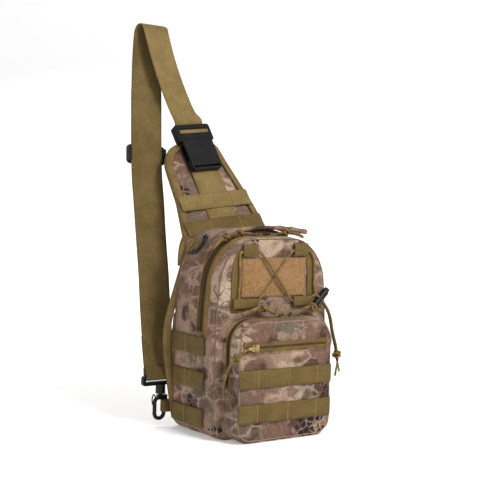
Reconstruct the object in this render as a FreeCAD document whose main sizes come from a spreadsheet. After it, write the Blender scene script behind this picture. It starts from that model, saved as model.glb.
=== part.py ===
"""Sling bag: a chest bag with two zipped compartments, a flat zipped pocket, a laced patch panel and a
padded shoulder harness that ends in a side release buckle and a swivel snap hook.

Frame, in millimetres: the bag stands on z = 0, x = 0 is its middle and +x its right-hand side, and -y is
the front. The main compartment lies round y = 0 and the harness rises behind it.
"""
import FreeCAD
import Part
import Sketcher
import math
import os

V = FreeCAD.Vector
Rotation = FreeCAD.Rotation
Placement = FreeCAD.Placement
X_AXIS, Y_AXIS, Z_AXIS = V(1, 0, 0), V(0, 1, 0), V(0, 0, 1)
doc = FreeCAD.newDocument("SlingBag")

# ------------------------------------------------------------------ driving dimensions
DIMENSIONS = {
    # main compartment, its zipper in the middle of the arch and its folding front
    "half_width": 93, "body_top": 270, "top_round": 58, "base_round": 22, "rear_top": 278,
    "front_face": -46, "flap_rear": -18, "zip_line": -8, "zip_rear": 2, "rear_face": 56,
    "wall": 2, "gap": 0.3, "zip_end": 141, "flap_fold": 174,
    # zipper chain and cloth tapes
    "tape_deep": 1.4, "cloth": 1, "teeth_wide": 1.5, "teeth_proud": 0.2, "binding_wide": 11,
    # back panel and the tape round its edge
    "panel_rear": 65, "panel_foot": 88, "panel_low": 1, "panel_waist": 111, "panel_waist_at": 132,
    "panel_neck": 74, "panel_neck_at": 250, "panel_top": 258, "edge_tape": 8, "edge_proud": 0.4,
    # front pouch
    "pouch_half": 79, "pouch_top": 164, "pouch_round": 34, "pouch_base": 0.5, "pouch_base_round": 24,
    "pouch_face": -80, "pouch_flap_rear": -62, "pouch_zip_line": -56, "pouch_zip_rear": -50,
    "pouch_fold": 71,
    # flat pocket in the pouch's front
    "pocket_line": 128, "pocket_half": 68, "pocket_slot": 7,
    # webbing
    "webbing": 25, "webbing_thick": 1.8, "row_low": 14, "row_mid": 64.5, "row_high": 111.5,
    "pouch_row_half": 76, "pouch_row_low": 28, "pouch_row_high": 74,
    # laced patch panel
    "patch_half": 54, "patch_low": 191, "patch_high": 244, "patch_thick": 2, "strip_wide": 11,
    "strip_from": 58, "tab_out": 54, "tab_long": 23, "tab_deep": 7, "tab_low": 176.5, "tab_high": 263,
    "channel": 4, "channel_high": 6, "lace_low": 183, "lace_high": 254, "cord": 3,
    # cord lock
    "lock_x": 75.5, "lock_y": -54.2, "lock_z": 186, "lock_long": 27, "lock_wide": 11,
    # shoulder pad: its frame leans back and to the left
    "pad_y": 66.8, "pad_z": 268, "pad_lean": 31, "pad_tilt": 6.5, "pad_long": 156, "pad_foot": 74,
    "pad_thick": 9, "strap_x": 3, "strap_wide": 50, "strap_thick": 1.8,
    "pad_row_low": 1.5, "pad_row_high": 43, "pad_row_half": 65,
    # side release buckle, along and across the pad
    "buckle_low": 103, "buckle_mouth": 150, "buckle_top": 178.4, "buckle_half": 26.5,
    "buckle_male_half": 31.5, "buckle_rear": -2.6, "buckle_front": -13.6,
    # swivel hook at the strap's lower end
    "hook_x": -103, "hook_y": 73, "hook_limb": 6, "hook_wire": 3.2,
    # sliders, from the tape's face outwards
    "slider_long": 12, "slider_wide": 9, "slider_high": 3.4, "pin_high": 5, "tab_reach": 13,
}


class Size:
    """A number together with the sheet formula that gives it."""

    def __init__(self, text, number):
        self.text = text
        self.number = number

    def __float__(self):
        return self.number

    def __neg__(self):
        return Size(f"(-{self.text})", -self.number)

    def __add__(self, other):
        other = sized(other)
        return Size(f"({self.text} + {other.text})", self.number + other.number)

    def __sub__(self, other):
        other = sized(other)
        return Size(f"({self.text} - {other.text})", self.number - other.number)

    def __mul__(self, other):
        other = sized(other)
        return Size(f"({self.text} * {other.text})", self.number * other.number)

    def __radd__(self, other):
        return sized(other) + self

    def __rsub__(self, other):
        return sized(other) - self

    def __rmul__(self, other):
        return sized(other) * self


def sized(number):
    """Wraps a plain number, so that it can stand in a formula."""
    return number if isinstance(number, Size) else Size(f"({float(number):g})", float(number))


class Dims:
    """The sheet's cells by their aliases."""


sheet = doc.addObject("Spreadsheet::Sheet", "Dims")
for row, (alias, number) in enumerate(DIMENSIONS.items(), 1):
    sheet.set(f"A{row}", alias)
    sheet.set(f"B{row}", str(number))
    sheet.setAlias(f"B{row}", alias)
doc.recompute()
for alias in DIMENSIONS:
    setattr(Dims, alias, Size(f"Dims.{alias}", float(sheet.get(alias))))
D = Dims

NODES = []          # every finished sub-part, whose Label names its file


# ------------------------------------------------------------------ sketches, pads and pockets
def bind(thing, prop, size):
    """Ties a property to the sheet."""
    thing.setExpression(prop, sized(size).text)


def fix(sketch, kind, *arguments):
    """Adds a dimension whose last argument is bound to the sheet."""
    *places, size = arguments
    index = sketch.addConstraint(Sketcher.Constraint(kind, *places, float(size)))
    sketch.setExpression(f"Constraints[{index}]", sized(size).text)


def corner_points(corners):
    """For each corner: where it is, where its rounding starts and ends, and the rounding's middle."""
    found = []
    for i, corner in enumerate(corners):
        here = V(float(corner[0]), float(corner[1]), 0)
        last, following = corners[i - 1], corners[(i + 1) % len(corners)]
        back = (V(float(last[0]), float(last[1]), 0) - here).normalize()
        onward = (V(float(following[0]), float(following[1]), 0) - here).normalize()
        if len(corner) == 2:
            found.append((here, here, here, None, False))
            continue
        half = back.getAngle(onward) / 2
        reach = float(corner[2]) / math.tan(half)
        middle = here + (back + onward).normalize() * (float(corner[2]) / math.sin(half))
        left_turn = back.cross(onward).z < 0
        found.append((here, here + back * reach, here + onward * reach, middle, left_turn))
    return found


def draw(sketch, corners):
    """Draws one closed outline of corners (x, y) or (x, y, radius), each held by its dimensions."""
    spots = corner_points(corners)
    count = len(corners)
    first = sketch.GeometryCount
    for i in range(count):
        sketch.addGeometry(Part.LineSegment(spots[i][2], spots[(i + 1) % count][1]))
    for i, corner in enumerate(corners):
        here, start, end, middle, left_turn = spots[i]
        before, after = first + (i - 1) % count, first + i
        if middle is None:
            sketch.addConstraint(Sketcher.Constraint("Coincident", before, 2, after, 1))
            fix(sketch, "DistanceX", -1, 1, after, 1, corner[0])
            fix(sketch, "DistanceY", -1, 1, after, 1, corner[1])
            continue
        tail, head = (start, end) if left_turn else (end, start)
        angles = [math.atan2(p.y - middle.y, p.x - middle.x) for p in (tail, head)]
        if angles[1] < angles[0]:
            angles[1] += 2 * math.pi
        circle = Part.Circle(middle, Z_AXIS, float(corner[2]))
        arc = sketch.addGeometry(Part.ArcOfCircle(circle, *angles))
        entry, leave = (1, 2) if left_turn else (2, 1)
        sketch.addConstraint(Sketcher.Constraint("Tangent", before, 2, arc, entry))
        sketch.addConstraint(Sketcher.Constraint("Tangent", arc, leave, after, 1))
        fix(sketch, "Radius", arc, corner[2])
        point = sketch.addGeometry(Part.Point(here), True)
        sketch.addConstraint(Sketcher.Constraint("PointOnObject", point, 1, before))
        sketch.addConstraint(Sketcher.Constraint("PointOnObject", point, 1, after))
        fix(sketch, "DistanceX", -1, 1, point, 1, corner[0])
        fix(sketch, "DistanceY", -1, 1, point, 1, corner[1])


FACING = {"XY_Plane": 1, "XZ_Plane": -1, "YZ_Plane": 1}       # which way each plane's normal points


def outline(body, plane, at, loops):
    """A sketch of closed outlines, parallel to one of the body's planes."""
    sketch = body.newObject("Sketcher::SketchObject", f"{body.Label}_outline")
    support = next(f for f in body.Origin.OriginFeatures if f.Role == plane)
    sketch.AttachmentSupport = [(support, "")]
    sketch.MapMode = "FlatFace"
    bind(sketch, "AttachmentOffset.Base.z", FACING[plane] * sized(at))
    for corners in loops:
        draw(sketch, corners)
    return sketch


def new_body(label, placement=None):
    """An empty body, in the bag's frame or in one of its own."""
    body = doc.addObject("PartDesign::Body", label)
    body.Label = label
    if placement:
        body.Placement = placement
    NODES.append(body)
    return body


def pad(body, plane, near, far, *loops):
    """Adds material from near to far along the plane's normal."""
    feature = body.newObject("PartDesign::Pad", f"{body.Label}_pad")
    feature.Profile = outline(body, plane, near, loops)
    bind(feature, "Length", FACING[plane] * (sized(far) - near))


def cut(body, plane, near, far, *loops):
    """Removes material from near to far along the plane's normal."""
    doc.recompute()
    before = body.Shape.Volume
    feature = body.newObject("PartDesign::Pocket", f"{body.Label}_cut")
    feature.Profile = outline(body, plane, far, loops)
    bind(feature, "Length", FACING[plane] * (sized(far) - near))
    doc.recompute()
    if body.Shape.Volume > before - 1:
        raise SystemExit(f"{body.Label}: a cut removes nothing")


def block(name, x, y, z):
    """A box between the two ends given on each axis."""
    box = doc.addObject("Part::Box", name)
    for (low, high), length, axis in zip((x, y, z), ("Length", "Width", "Height"), "xyz"):
        bind(box, length, sized(high) - low)
        bind(box, f"Placement.Base.{axis}", low)
    return box


def rod(name, radius, start, direction, length):
    """A cylinder from a point along a direction."""
    cylinder = doc.addObject("Part::Cylinder", name)
    bind(cylinder, "Radius", radius)
    bind(cylinder, "Height", length)
    cylinder.Placement = Placement(V(*map(float, start)), Rotation(Z_AXIS, V(*map(float, direction))))
    return cylinder


def combined(kind, label, pieces):
    """Fuses pieces, or gathers separate ones."""
    result = doc.addObject(kind, label)
    if kind == "Part::Compound":
        result.Links = pieces
    else:
        result.Shapes = pieces
    return result


def less(label, base, tool):
    """Cuts one piece out of another."""
    result = doc.addObject("Part::Cut", label)
    result.Base = base
    result.Tool = tool
    return result


def finish(thing, label, placement=None):
    """Names a finished sub-part and stands it in its place."""
    thing.Label = label
    if placement:
        thing.Placement = placement
    NODES.append(thing)


def solid(label, shape):
    """Keeps a shape that has no feature of its own as a sub-part."""
    feature = doc.addObject("Part::Feature", label)
    feature.Shape = shape
    feature.Label = label
    feature.Placement = Placement()
    NODES.append(feature)


# ------------------------------------------------------------------ outlines that several parts share
MAIN = (D.half_width, D.body_top, D.top_round)
REAR = (D.half_width, D.rear_top, D.top_round)
POUCH = (D.pouch_half, D.pouch_top, D.pouch_round)


def arch(family, inset, base, base_round):
    """A closed arch: rounded below and above."""
    half, top, bend = (size - inset for size in family)
    low, turn = base + inset, base_round - inset
    return [(-half, low, turn), (half, low, turn), (half, top, bend), (-half, top, bend)]


def lid(family, inset, low):
    """An arch cut level at its lower edge."""
    half, top, bend = (size - inset for size in family)
    return [(-half, low), (half, low), (half, top, bend), (-half, top, bend)]


def hoop(family, outer, inner, low):
    """A band that follows the arch between two insets, open below."""
    there = lid(family, outer, low)
    back = lid(family, inner, low)
    return [there[1], there[2], there[3], there[0], back[0], back[3], back[2], back[1]]


def cup(half, low, high, turn):
    """A tray's section: rounded below and cut level above."""
    return [(-half, low, turn), (half, low, turn), (half, high), (-half, high)]


def rectangle(left, right, low, high):
    """A plain rectangle."""
    return [(left, low), (right, low), (right, high), (left, high)]


# ------------------------------------------------------------------ main compartment
def rear_gusset():
    """The rear half of the compartment's wall, with the lip that stands over the zipper."""
    body = new_body("rear_gusset")
    lip = D.zip_rear + 2.5
    pad(body, "XZ_Plane", D.rear_face, D.zip_rear, arch(REAR, 0, sized(0), D.base_round))
    cut(body, "XZ_Plane", D.rear_face - D.wall, lip, arch(REAR, D.wall, sized(0), D.base_round))
    cut(body, "XZ_Plane", lip + 1, D.zip_rear - 1, arch(MAIN, D.wall, sized(0), D.base_round))


def lower_shell():
    """The front half of the wall below the fold, with the lower front panel: an open box."""
    body = new_body("lower_shell")
    half, base = D.half_width, sized(0)
    pad(body, "XZ_Plane", D.zip_rear - D.gap, D.flap_rear, cup(half, base, D.zip_end, D.base_round))
    pad(body, "XZ_Plane", D.flap_rear, D.front_face, cup(half, base, D.flap_fold, D.base_round))
    inside = cup(half - D.wall, base + D.wall, D.flap_fold + 1, D.base_round - D.wall)
    cut(body, "XZ_Plane", D.zip_rear, D.front_face + D.wall, inside)


def zipper_half(label, family, line, away, ends):
    """One tape of an arched zipper with its teeth; away is +1 behind the line and -1 before it."""
    body = new_body(label)
    low, tape_edge = ends
    near, far = line + away * D.gap * 0.4, tape_edge
    teeth = near + away * D.teeth_wide
    tape = hoop(family, D.tape_deep, D.tape_deep + D.cloth, low)
    chain = hoop(family, -D.teeth_proud, D.tape_deep, low)
    spans = ((near, far), (near, teeth)) if away < 0 else ((far, near), (teeth, near))
    pad(body, "XZ_Plane", *spans[0], tape)
    pad(body, "XZ_Plane", *spans[1], chain)


def flap_shell(label, family, low, rear, face):
    """A compartment's folding front: its panel and the front half of its wall above the fold."""
    body = new_body(label)
    pad(body, "XZ_Plane", rear, face, lid(family, 0, low))
    cut(body, "XZ_Plane", rear + 1, face + D.wall, lid(family, D.wall, low - 1))
    return body


def flap_binding():
    """The tape sewn over the flap's edge beside the zipper."""
    body = new_body("flap_binding")
    band = hoop(MAIN, -(D.gap + D.cloth), -D.gap, D.flap_fold + 1)
    pad(body, "XZ_Plane", D.flap_rear, D.flap_rear - D.binding_wide, band)


def side_rows():
    """Three webbing rows on each side of the compartment."""
    strips = []
    inner = D.half_width + D.gap
    for height in (D.row_low, D.row_mid, D.row_high):
        for left, right in ((inner, inner + D.webbing_thick), (-inner - D.webbing_thick, -inner)):
            depth = (D.flap_rear - 6, D.rear_face - 2)
            strips.append(block("side_row", (left, right), depth, (height, height + D.webbing)))
    finish(combined("Part::Compound", "side_rows", strips), "side_rows")


# ------------------------------------------------------------------ back panel
def panel_side(inset):
    """The back panel's right-hand edge from its foot to its neck."""
    foot_round, waist_round, neck_round = 22, 150, 40
    return [(D.panel_foot - inset, D.panel_low + inset, foot_round - inset),
            (D.panel_waist - inset, D.panel_waist_at, waist_round),
            (D.panel_neck - inset, D.panel_neck_at, neck_round), (D.panel_neck - inset, D.panel_top)]


def mirrored(side):
    """The same corners on the other side of the middle, in reverse."""
    return [(-corner[0], *corner[1:]) for corner in reversed(side)]


def back_panel():
    """The padded panel that lies against the wearer, and the tape round its edge."""
    body = new_body("back_panel")
    inner = panel_side(D.edge_tape + D.gap)
    pad(body, "XZ_Plane", D.panel_rear, D.rear_face + D.gap, inner + mirrored(inner))
    tape = new_body("back_binding")
    outside, inside = panel_side(sized(0)), panel_side(D.edge_tape)
    ring = mirrored(outside) + outside + list(reversed(inside)) + list(reversed(mirrored(inside)))
    pad(tape, "XZ_Plane", D.panel_rear + D.edge_proud, D.rear_face + D.gap, ring)


def hook_tab(label, side):
    """A folded webbing tab on the panel's lower edge, whose fold holds the hook."""
    x, y = side * -D.hook_x - side * D.hook_limb, D.hook_y
    low, high = 19.5, 37
    eye, fold, reach = 3.2, 5, 28
    outer = rod("tab_fold", fold, (x, y, low), Z_AXIS, high - low)
    flat_rear = D.hook_y - fold + D.webbing_thick
    ends = sorted((x, x - side * reach), key=float)
    flat = block("tab_flat", ends, (D.panel_rear + D.edge_proud + D.gap, flat_rear), (low, high))
    whole = combined("Part::MultiFuse", "tab_whole", [outer, flat])
    finish(less(label, whole, rod("tab_eye", eye, (x, y, low - 1), Z_AXIS, high - low + 2)), label)


# ------------------------------------------------------------------ patch panel and lacing
def patch():
    """The fuzzy patch, the strips beside it and the four tabs that the bungee runs through."""
    body = new_body("patch_panel")
    face = D.front_face - D.gap
    turn = 3
    half = D.patch_half
    shape = [(-half, D.patch_low, turn), (half, D.patch_low, turn), (half, D.patch_high, turn),
             (-half, D.patch_high, turn)]
    pad(body, "XZ_Plane", face, face - D.patch_thick, shape)
    pieces = []
    for side in (-1, 1):
        ends = sorted((side * D.strip_from, side * (D.strip_from + D.strip_wide)), key=float)
        pieces.append(block("patch_strip", ends, (face - D.webbing_thick, face), (D.tab_low, D.tab_high - 5)))
        reach = sorted((side * D.tab_out, side * (D.tab_out - D.tab_long)), key=float)
        for low, high, lace in ((D.tab_low, D.patch_low - 1, D.lace_low),
                                (D.patch_high + 2, D.tab_high, D.lace_high)):
            tab = block("lace_tab", reach, (face - D.tab_deep, face), (low, high))
            room_half = D.channel_high * 0.5
            room = block("lace_channel", (reach[0] - 1, reach[1] + 1), (face - 1.6 - D.channel, face + 1),
                         (lace - room_half, lace + room_half))
            pieces.append(less("laced_tab", tab, room))
    finish(combined("Part::Compound", "patch_webbing", pieces), "patch_webbing")


LOCK = (float(D.lock_x), float(D.lock_y), float(D.lock_z))
LOCK_FRAME = Placement(V(*LOCK), Rotation(Y_AXIS, 45))         # its z axis runs along the barrel
STRAND = 1.8                                                   # half the spacing of the two strands


def cord_lock():
    """A spring cord lock: a barrel, the plunger that clamps both strands, and its spring."""
    half, radius, slot = float(D.lock_long) / 2, float(D.lock_wide) / 2, 1.9
    bore, foot = 4.25, -12.3
    barrel = new_body("cord_lock_barrel", LOCK_FRAME)
    pad(barrel, "XY_Plane", -half, half, round_outline(radius))
    cut(barrel, "XY_Plane", foot, half, round_outline(bore))
    cut(barrel, "YZ_Plane", -radius - 1, radius + 1, rectangle(-3.6, 3.6, -slot, slot))
    plunger = new_body("cord_lock_plunger", LOCK_FRAME)
    pad(plunger, "XY_Plane", -6, 18, round_outline(4))
    cut(plunger, "YZ_Plane", -5, 5, rectangle(-3.5, 3.5, -slot, 6))
    spring = new_body("cord_lock_spring", LOCK_FRAME)
    pad(spring, "XY_Plane", foot + 0.1, -6.1, round_outline(3.6), round_outline(2.6))


def round_outline(radius):
    """A circle drawn as a square whose corners are rounded all the way."""
    near = sized(radius) * 0.9999
    return [(-sized(radius), -sized(radius), near), (sized(radius), -sized(radius), near),
            (sized(radius), sized(radius), near), (-sized(radius), sized(radius), near)]


# ------------------------------------------------------------------ cords
def tube(label, route, radius):
    """A round tube along straight runs joined by tangent arcs, each as large as its runs allow."""
    points = [V(*p) for p in route]
    edges, radii, start = [], [], points[0]
    for before, here, after in zip(points, points[1:], points[2:]):
        back, onward = (before - here), (after - here)
        run = min(back.Length, onward.Length)
        turn = math.pi - back.getAngle(onward)
        reach = 0.45 * run
        radii.append(round(reach / math.tan(turn / 2), 1))
        back.normalize()
        onward.normalize()
        entry, leave = here + back * reach, here + onward * reach
        inward = (back + onward).normalize()
        bulge = arc_bulge(reach, turn)
        edges.append(Part.LineSegment(start, entry).toShape())
        edges.append(Part.Arc(entry, here + inward * bulge, leave).toShape())
        start = leave
    edges.append(Part.LineSegment(start, points[-1]).toShape())
    path = Part.Wire(edges)
    ring = Part.Wire([Part.Circle(points[0], points[1] - points[0], radius).toShape()])
    shape = path.makePipeShell([ring], True, False)
    share = shape.Volume / (math.pi * radius ** 2 * path.Length)
    print(f"{label}: length {path.Length:.1f}, radii {radii}, volume share {share:.4f}")
    solid(label, shape)


def arc_bulge(reach, turn):
    """How far inside a corner the middle of its arc lies."""
    radius = reach / math.tan(turn / 2)
    return radius / math.cos(turn / 2) - radius


LOCK_OUT = 5.6 * math.sqrt(0.5)                  # from the barrel's middle to the cords' end planes
LACE_Y = -49.9
CLEAR = 0.1                                      # between a cord's end and what it meets
BUNGEE = [
    (LOCK[0] + LOCK_OUT, LOCK[1] + STRAND, LOCK[2] - LOCK_OUT), (LOCK[0] - 6, LOCK[1] + STRAND, LOCK[2] + 6),
    (67, LACE_Y, 206), (68, LACE_Y, 224), (66, LACE_Y, 242), (61, LACE_Y, 251.5), (55.5, LACE_Y, 254),
    (33, LACE_Y, 254.4), (26, LACE_Y, 252), (-26, LACE_Y, 186), (-33, LACE_Y, 183.2), (-56, LACE_Y, 182.9),
    (-60, LACE_Y, 187), (-59, LACE_Y, 199), (-57.5, LACE_Y, 220), (-59, LACE_Y, 240), (-59.5, LACE_Y, 249),
    (-55.5, LACE_Y, 253.6), (-33, LACE_Y, 254.2), (-26, LACE_Y, 252), (-17, LACE_Y - 3.4, 241),
    (17, LACE_Y - 3.4, 197.5), (26, LACE_Y, 186.2), (33, LACE_Y, 183.2), (54, LACE_Y, 183),
    (59.5, LACE_Y - 0.6, 186), (64.5, LOCK[1] + 0.9, 190.5), (LOCK[0] - 6.9, LOCK[1] - STRAND, LOCK[2] + 6.9),
    (LOCK[0] + LOCK_OUT, LOCK[1] - STRAND, LOCK[2] - LOCK_OUT),
]
# the free ends beyond the lock, right and up from their start
TAIL_START = (LOCK[0] + 4, LOCK[2] - 4)
TAIL = [(4.2, -4.2), (9, -10.5), (14, -19), (17.5, -31), (20.5, -45), (25, -58), (29, -71), (31, -83)]
TAIL_ENDS = {"front": [(34.5, -92), (37, -102)], "rear": [(29, -94), (26.5, -107)]}


def cords():
    """The bungee lacing, and its two free ends with the knot that joins them."""
    radius = float(D.cord) / 2
    tube("bungee_cord", BUNGEE, radius)
    for name, side in (("front", 1), ("rear", -1)):
        y = LOCK[1] + side * STRAND
        start = (LOCK[0] + LOCK_OUT + CLEAR, y, LOCK[2] - LOCK_OUT - CLEAR)
        route = [(TAIL_START[0] + x, y, TAIL_START[1] + z) for x, z in TAIL + TAIL_ENDS[name]]
        tube(f"bungee_tail_{name}", [start] + route, radius)
    knot = doc.addObject("Part::Ellipsoid", "knot")
    knot.Radius1, knot.Radius2, knot.Radius3 = 8, 5.4, 5.4
    x, z = TAIL[-2]
    place = Placement(V(TAIL_START[0] + x + 1, LOCK[1], TAIL_START[1] + z - 6), Rotation(Y_AXIS, -12))
    finish(knot, "bungee_knot", place)


# ------------------------------------------------------------------ sliders, pull tabs and their cords
def slider_frame(x, outward, pull):
    """A frame on a zipper's line: x axis along the pull, z axis out of the cloth."""
    level, line = {
        "main": (D.body_top - D.tape_deep, D.zip_line),
        "pouch": (D.pouch_top - D.tape_deep, D.pouch_zip_line),
        "pocket": (D.pocket_line, D.pouch_face + D.tape_deep),
    }[outward]
    if outward == "pocket":
        axes = Rotation(V(pull, 0, 0), V(0, 0, pull), V(0, -1, 0), "ZXY")
    else:
        axes = Rotation(V(pull, 0, 0), V(0, pull, 0), V(0, 0, 1), "ZXY")
    return Placement(V(x, float(line), float(level)), axes)


def slider(label, frame):
    """A slider over the chain, with two ears and the pin that carries its pull tab."""
    long, wide, top = float(D.slider_long) / 2, float(D.slider_wide) / 2, float(D.slider_high)
    body = new_body(label, frame)
    low, channel, ear, pin = 0.2, 1.9, 3.2, float(D.pin_high)
    turn = 2
    pad(body, "XY_Plane", low, top, [(-long, -wide, turn), (long, -wide, turn), (long, wide, turn),
                                     (-long, wide, turn)])
    cut(body, "YZ_Plane", -long - 1, long + 1, rectangle(-channel, channel, -1, channel))
    for side in (-1, 1):
        span = sorted((side * 2.2, side * ear))
        pad(body, "XZ_Plane", span[1], span[0], rectangle(-1.7, 1.7, top - 0.2, pin + 1.4))
    pad(body, "XZ_Plane", ear - 0.1, 0.1 - ear, [(x, z + pin, r) for x, z, r in square_corners(0.75)])


def square_corners(radius):
    """The rounded corners that make a circle of a radius about the origin."""
    near = radius * 0.9999
    return [(x * radius, z * radius, near) for x, z in ((-1, -1), (1, -1), (1, 1), (-1, 1))]


def pull_tab(label, frame):
    """The small flat tab that swings on the slider's pin."""
    pin, reach = float(D.pin_high), float(D.tab_reach)
    knuckle, half = 1.5, 1.9
    body = new_body(label, frame)
    ring = [(x, z + pin, r) for x, z, r in square_corners(knuckle)]
    bore = [(x, z + pin, r) for x, z, r in square_corners(0.95)]
    pad(body, "XZ_Plane", half, -half, ring, bore)
    root, thin = 1.2, 0.6
    pad(body, "XY_Plane", pin - thin, pin + thin,
        [(root, -half), (reach, -half, 1), (reach, half, 1), (root, half)])


# each slider: label, zipper, its x, which way its pull lies, and the cord's points beyond its tab as
# (along the pull, sideways, outwards)
SLIDERS = [
    ("main_left", "main", 2, -1, [(22, 1, 5.6), (32, 2, 5.2), (42, 3, 4.6), (52, 4, 2.8), (60, 5, 0.2),
                                  (68, 6, -3.8), (75, 7, -8.6), (81, 7.5, -14.2)]),
    ("main_right", "main", 20, 1, [(20, -1, 5.6), (29, -2, 5.5), (38, -3, 4.6), (47, -4, 3), (55, -5, -0.6)]),
    ("pouch_left", "pouch", 11, -1, [(21, 1, 8), (31, 1, 12), (41, 1, 13.5), (52, 1, 11), (63, 1, 8),
                                     (70, 1, 6.5)]),
    ("pouch_right", "pouch", 25, 1, [(19, -1, 9), (27, -1, 12), (35, -1, 11), (43, -1, 8), (51, -1, 5.5)]),
    ("pocket", "pocket", -52, -1, [(19, 2, 5.4), (26, 6, 5), (31.6, 13, 1), (32.6, 20, -7), (32.6, 30, -15),
                                   (32.4, 41, -21), (32.4, 52, -25)]),
]


def sliders():
    """The five sliders with their tabs and cords."""
    for label, zipper, x, pull, route in SLIDERS:
        frame = slider_frame(x, zipper, pull)
        slider(f"{label}_slider", frame)
        pull_tab(f"{label}_tab", frame)
        start = (float(D.tab_reach) + 5 * CLEAR, 0, float(D.pin_high))
        points = [frame.multVec(V(*p)) for p in [start] + route]
        tube(f"{label}_pull_cord", points, 1.25)


# ------------------------------------------------------------------ front pouch
def pouch_body():
    """The pouch's lower tray and the rear half of its wall."""
    body = new_body("pouch_body")
    rear = D.front_face - D.gap
    base, turn = D.pouch_base, D.pouch_base_round
    pad(body, "XZ_Plane", rear, D.pouch_zip_rear, arch(POUCH, 0, base, turn))
    pad(body, "XZ_Plane", D.pouch_zip_rear, D.pouch_face, cup(D.pouch_half, base, D.pouch_fold, turn))
    cut(body, "XZ_Plane", rear + 1, D.pouch_zip_rear, arch(POUCH, D.wall, base, turn))
    tray = cup(D.pouch_half - D.wall, base + D.wall, D.pouch_fold + 1, turn - D.wall)
    cut(body, "XZ_Plane", D.pouch_zip_rear, D.pouch_face + D.wall, tray)


def pouch_flap():
    """The pouch's folding front, with the slot for the flat pocket's zipper."""
    body = flap_shell("pouch_flap_shell", POUCH, D.pouch_fold + D.gap, D.pouch_flap_rear, D.pouch_face)
    half, line = D.pocket_half, D.pocket_line
    slot = rectangle(-half, half, line - D.pocket_slot, line + D.pocket_slot)
    cut(body, "XZ_Plane", D.pouch_face + D.wall + 1, D.pouch_face - 1, slot)


def flat_pocket():
    """The flat pocket's two zipper tapes, and the cloth bag behind them."""
    tapes = []
    rear = D.pouch_face + D.wall + D.gap
    half = D.pocket_half + 3
    for side in (-1, 1):
        near = D.pocket_line + side * 0.12
        edges = sorted((near, D.pocket_line + side * (D.pocket_slot + 2)), key=float)
        tape = block("pocket_tape", (-half, half), (rear, rear + D.cloth), edges)
        edges = sorted((near, near + side * D.teeth_wide), key=float)
        chain = block("pocket_chain", (-half + 5, half - 5), (rear - 1.9, rear + 0.1), edges)
        tapes.append(combined("Part::MultiFuse", "pocket_tape_half", [tape, chain]))
    finish(combined("Part::Compound", "pocket_zip", tapes), "pocket_zip")
    bag = new_body("pocket_bag")
    front = rear + D.cloth + D.gap
    low, high = D.pouch_fold + 8, D.pocket_line + 12
    shape = [(-half, low, 10), (half, low, 10), (half, high), (-half, high)]
    pad(bag, "XZ_Plane", front + D.cloth, front, shape)


def pouch_row(label, low):
    """A webbing row across the pouch's front."""
    face = D.pouch_face - D.gap
    body = new_body(label)
    half = D.pouch_row_half
    pad(body, "XZ_Plane", face, face - D.webbing_thick, rectangle(-half, half, low, low + D.webbing))


# ------------------------------------------------------------------ accessory ring on the left shoulder
def ring_frame():
    """A frame on the rear gusset's left shoulder: y axis forwards, z axis out of the cloth."""
    angle = math.radians(38)
    middle = V(float(D.top_round - D.half_width), 12, float(D.rear_top - D.top_round))
    outward = V(-math.cos(angle), 0, math.sin(angle))
    across = V(-math.sin(angle), 0, -math.cos(angle))
    return Placement(middle + outward * float(D.top_round), Rotation(across, V(0, -1, 0), outward, "ZXY"))


RING_BAR, RING_HIGH, RING_TILT = 2.2, 4.6, 20


def accessory_ring():
    """The ring's webbing tab, and the ring itself, raised a little."""
    frame = ring_frame()
    outer, eye, half = 4.3, 2.5, 11
    fold = rod("ring_fold", outer, (-half, 0, RING_HIGH), X_AXIS, 2 * half)
    low, long = RING_HIGH - outer, 26
    flat = block("ring_flat", (-half, half), (-long, 0), (low, low + D.webbing_thick))
    whole = combined("Part::MultiFuse", "ring_tab_whole", [fold, flat])
    hole = rod("ring_eye", eye, (-half - 1, 0, RING_HIGH), X_AXIS, 2 * half + 2)
    finish(less("ring_tab", whole, hole), "ring_tab", frame)
    wide, arm = 14, 8
    bar = rod("ring_bar", RING_BAR, (-wide, 0, 0), X_AXIS, 2 * wide)
    arms = [rod("ring_arm", RING_BAR, (side * wide, 0, 0), Y_AXIS, arm) for side in (-1, 1)]
    corners = [ball("ring_corner", RING_BAR, (side * wide, 0, 0)) for side in (-1, 1)]
    bow = doc.addObject("Part::Torus", "ring_bow")
    bow.Radius1, bow.Radius2, bow.Angle3 = wide, RING_BAR, 180
    bow.Placement = Placement(V(0, arm, 0), Rotation())
    tilted = Placement(V(0, 0, RING_HIGH), Rotation(X_AXIS, RING_TILT))
    whole = combined("Part::MultiFuse", "ring", [bar, *arms, *corners, bow])
    finish(whole, "accessory_ring", frame.multiply(tilted))


def ball(name, radius, centre):
    """A sphere."""
    sphere = doc.addObject("Part::Sphere", name)
    bind(sphere, "Radius", radius)
    sphere.Placement = Placement(V(*centre), Rotation())
    return sphere


# ------------------------------------------------------------------ shoulder pad and buckle
PAD_TURN = Rotation(X_AXIS, -float(D.pad_lean)).multiply(Rotation(Y_AXIS, -float(D.pad_tilt)))
PAD = Placement(V(0, float(D.pad_y), float(D.pad_z)), PAD_TURN)


def pad_edge(inset):
    """The pad's edge, from its right-hand foot over the top to its left-hand foot."""
    foot, top = D.pad_foot - inset, D.pad_long - inset
    return [(foot, 0), (67 - inset, 48, 90), (51 - inset, 118, 60), (44 - inset, top, 20 - inset),
            (-60 + inset, top, 44 - inset), (-64 + inset, 62, 90), (-foot, 0)]


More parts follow.
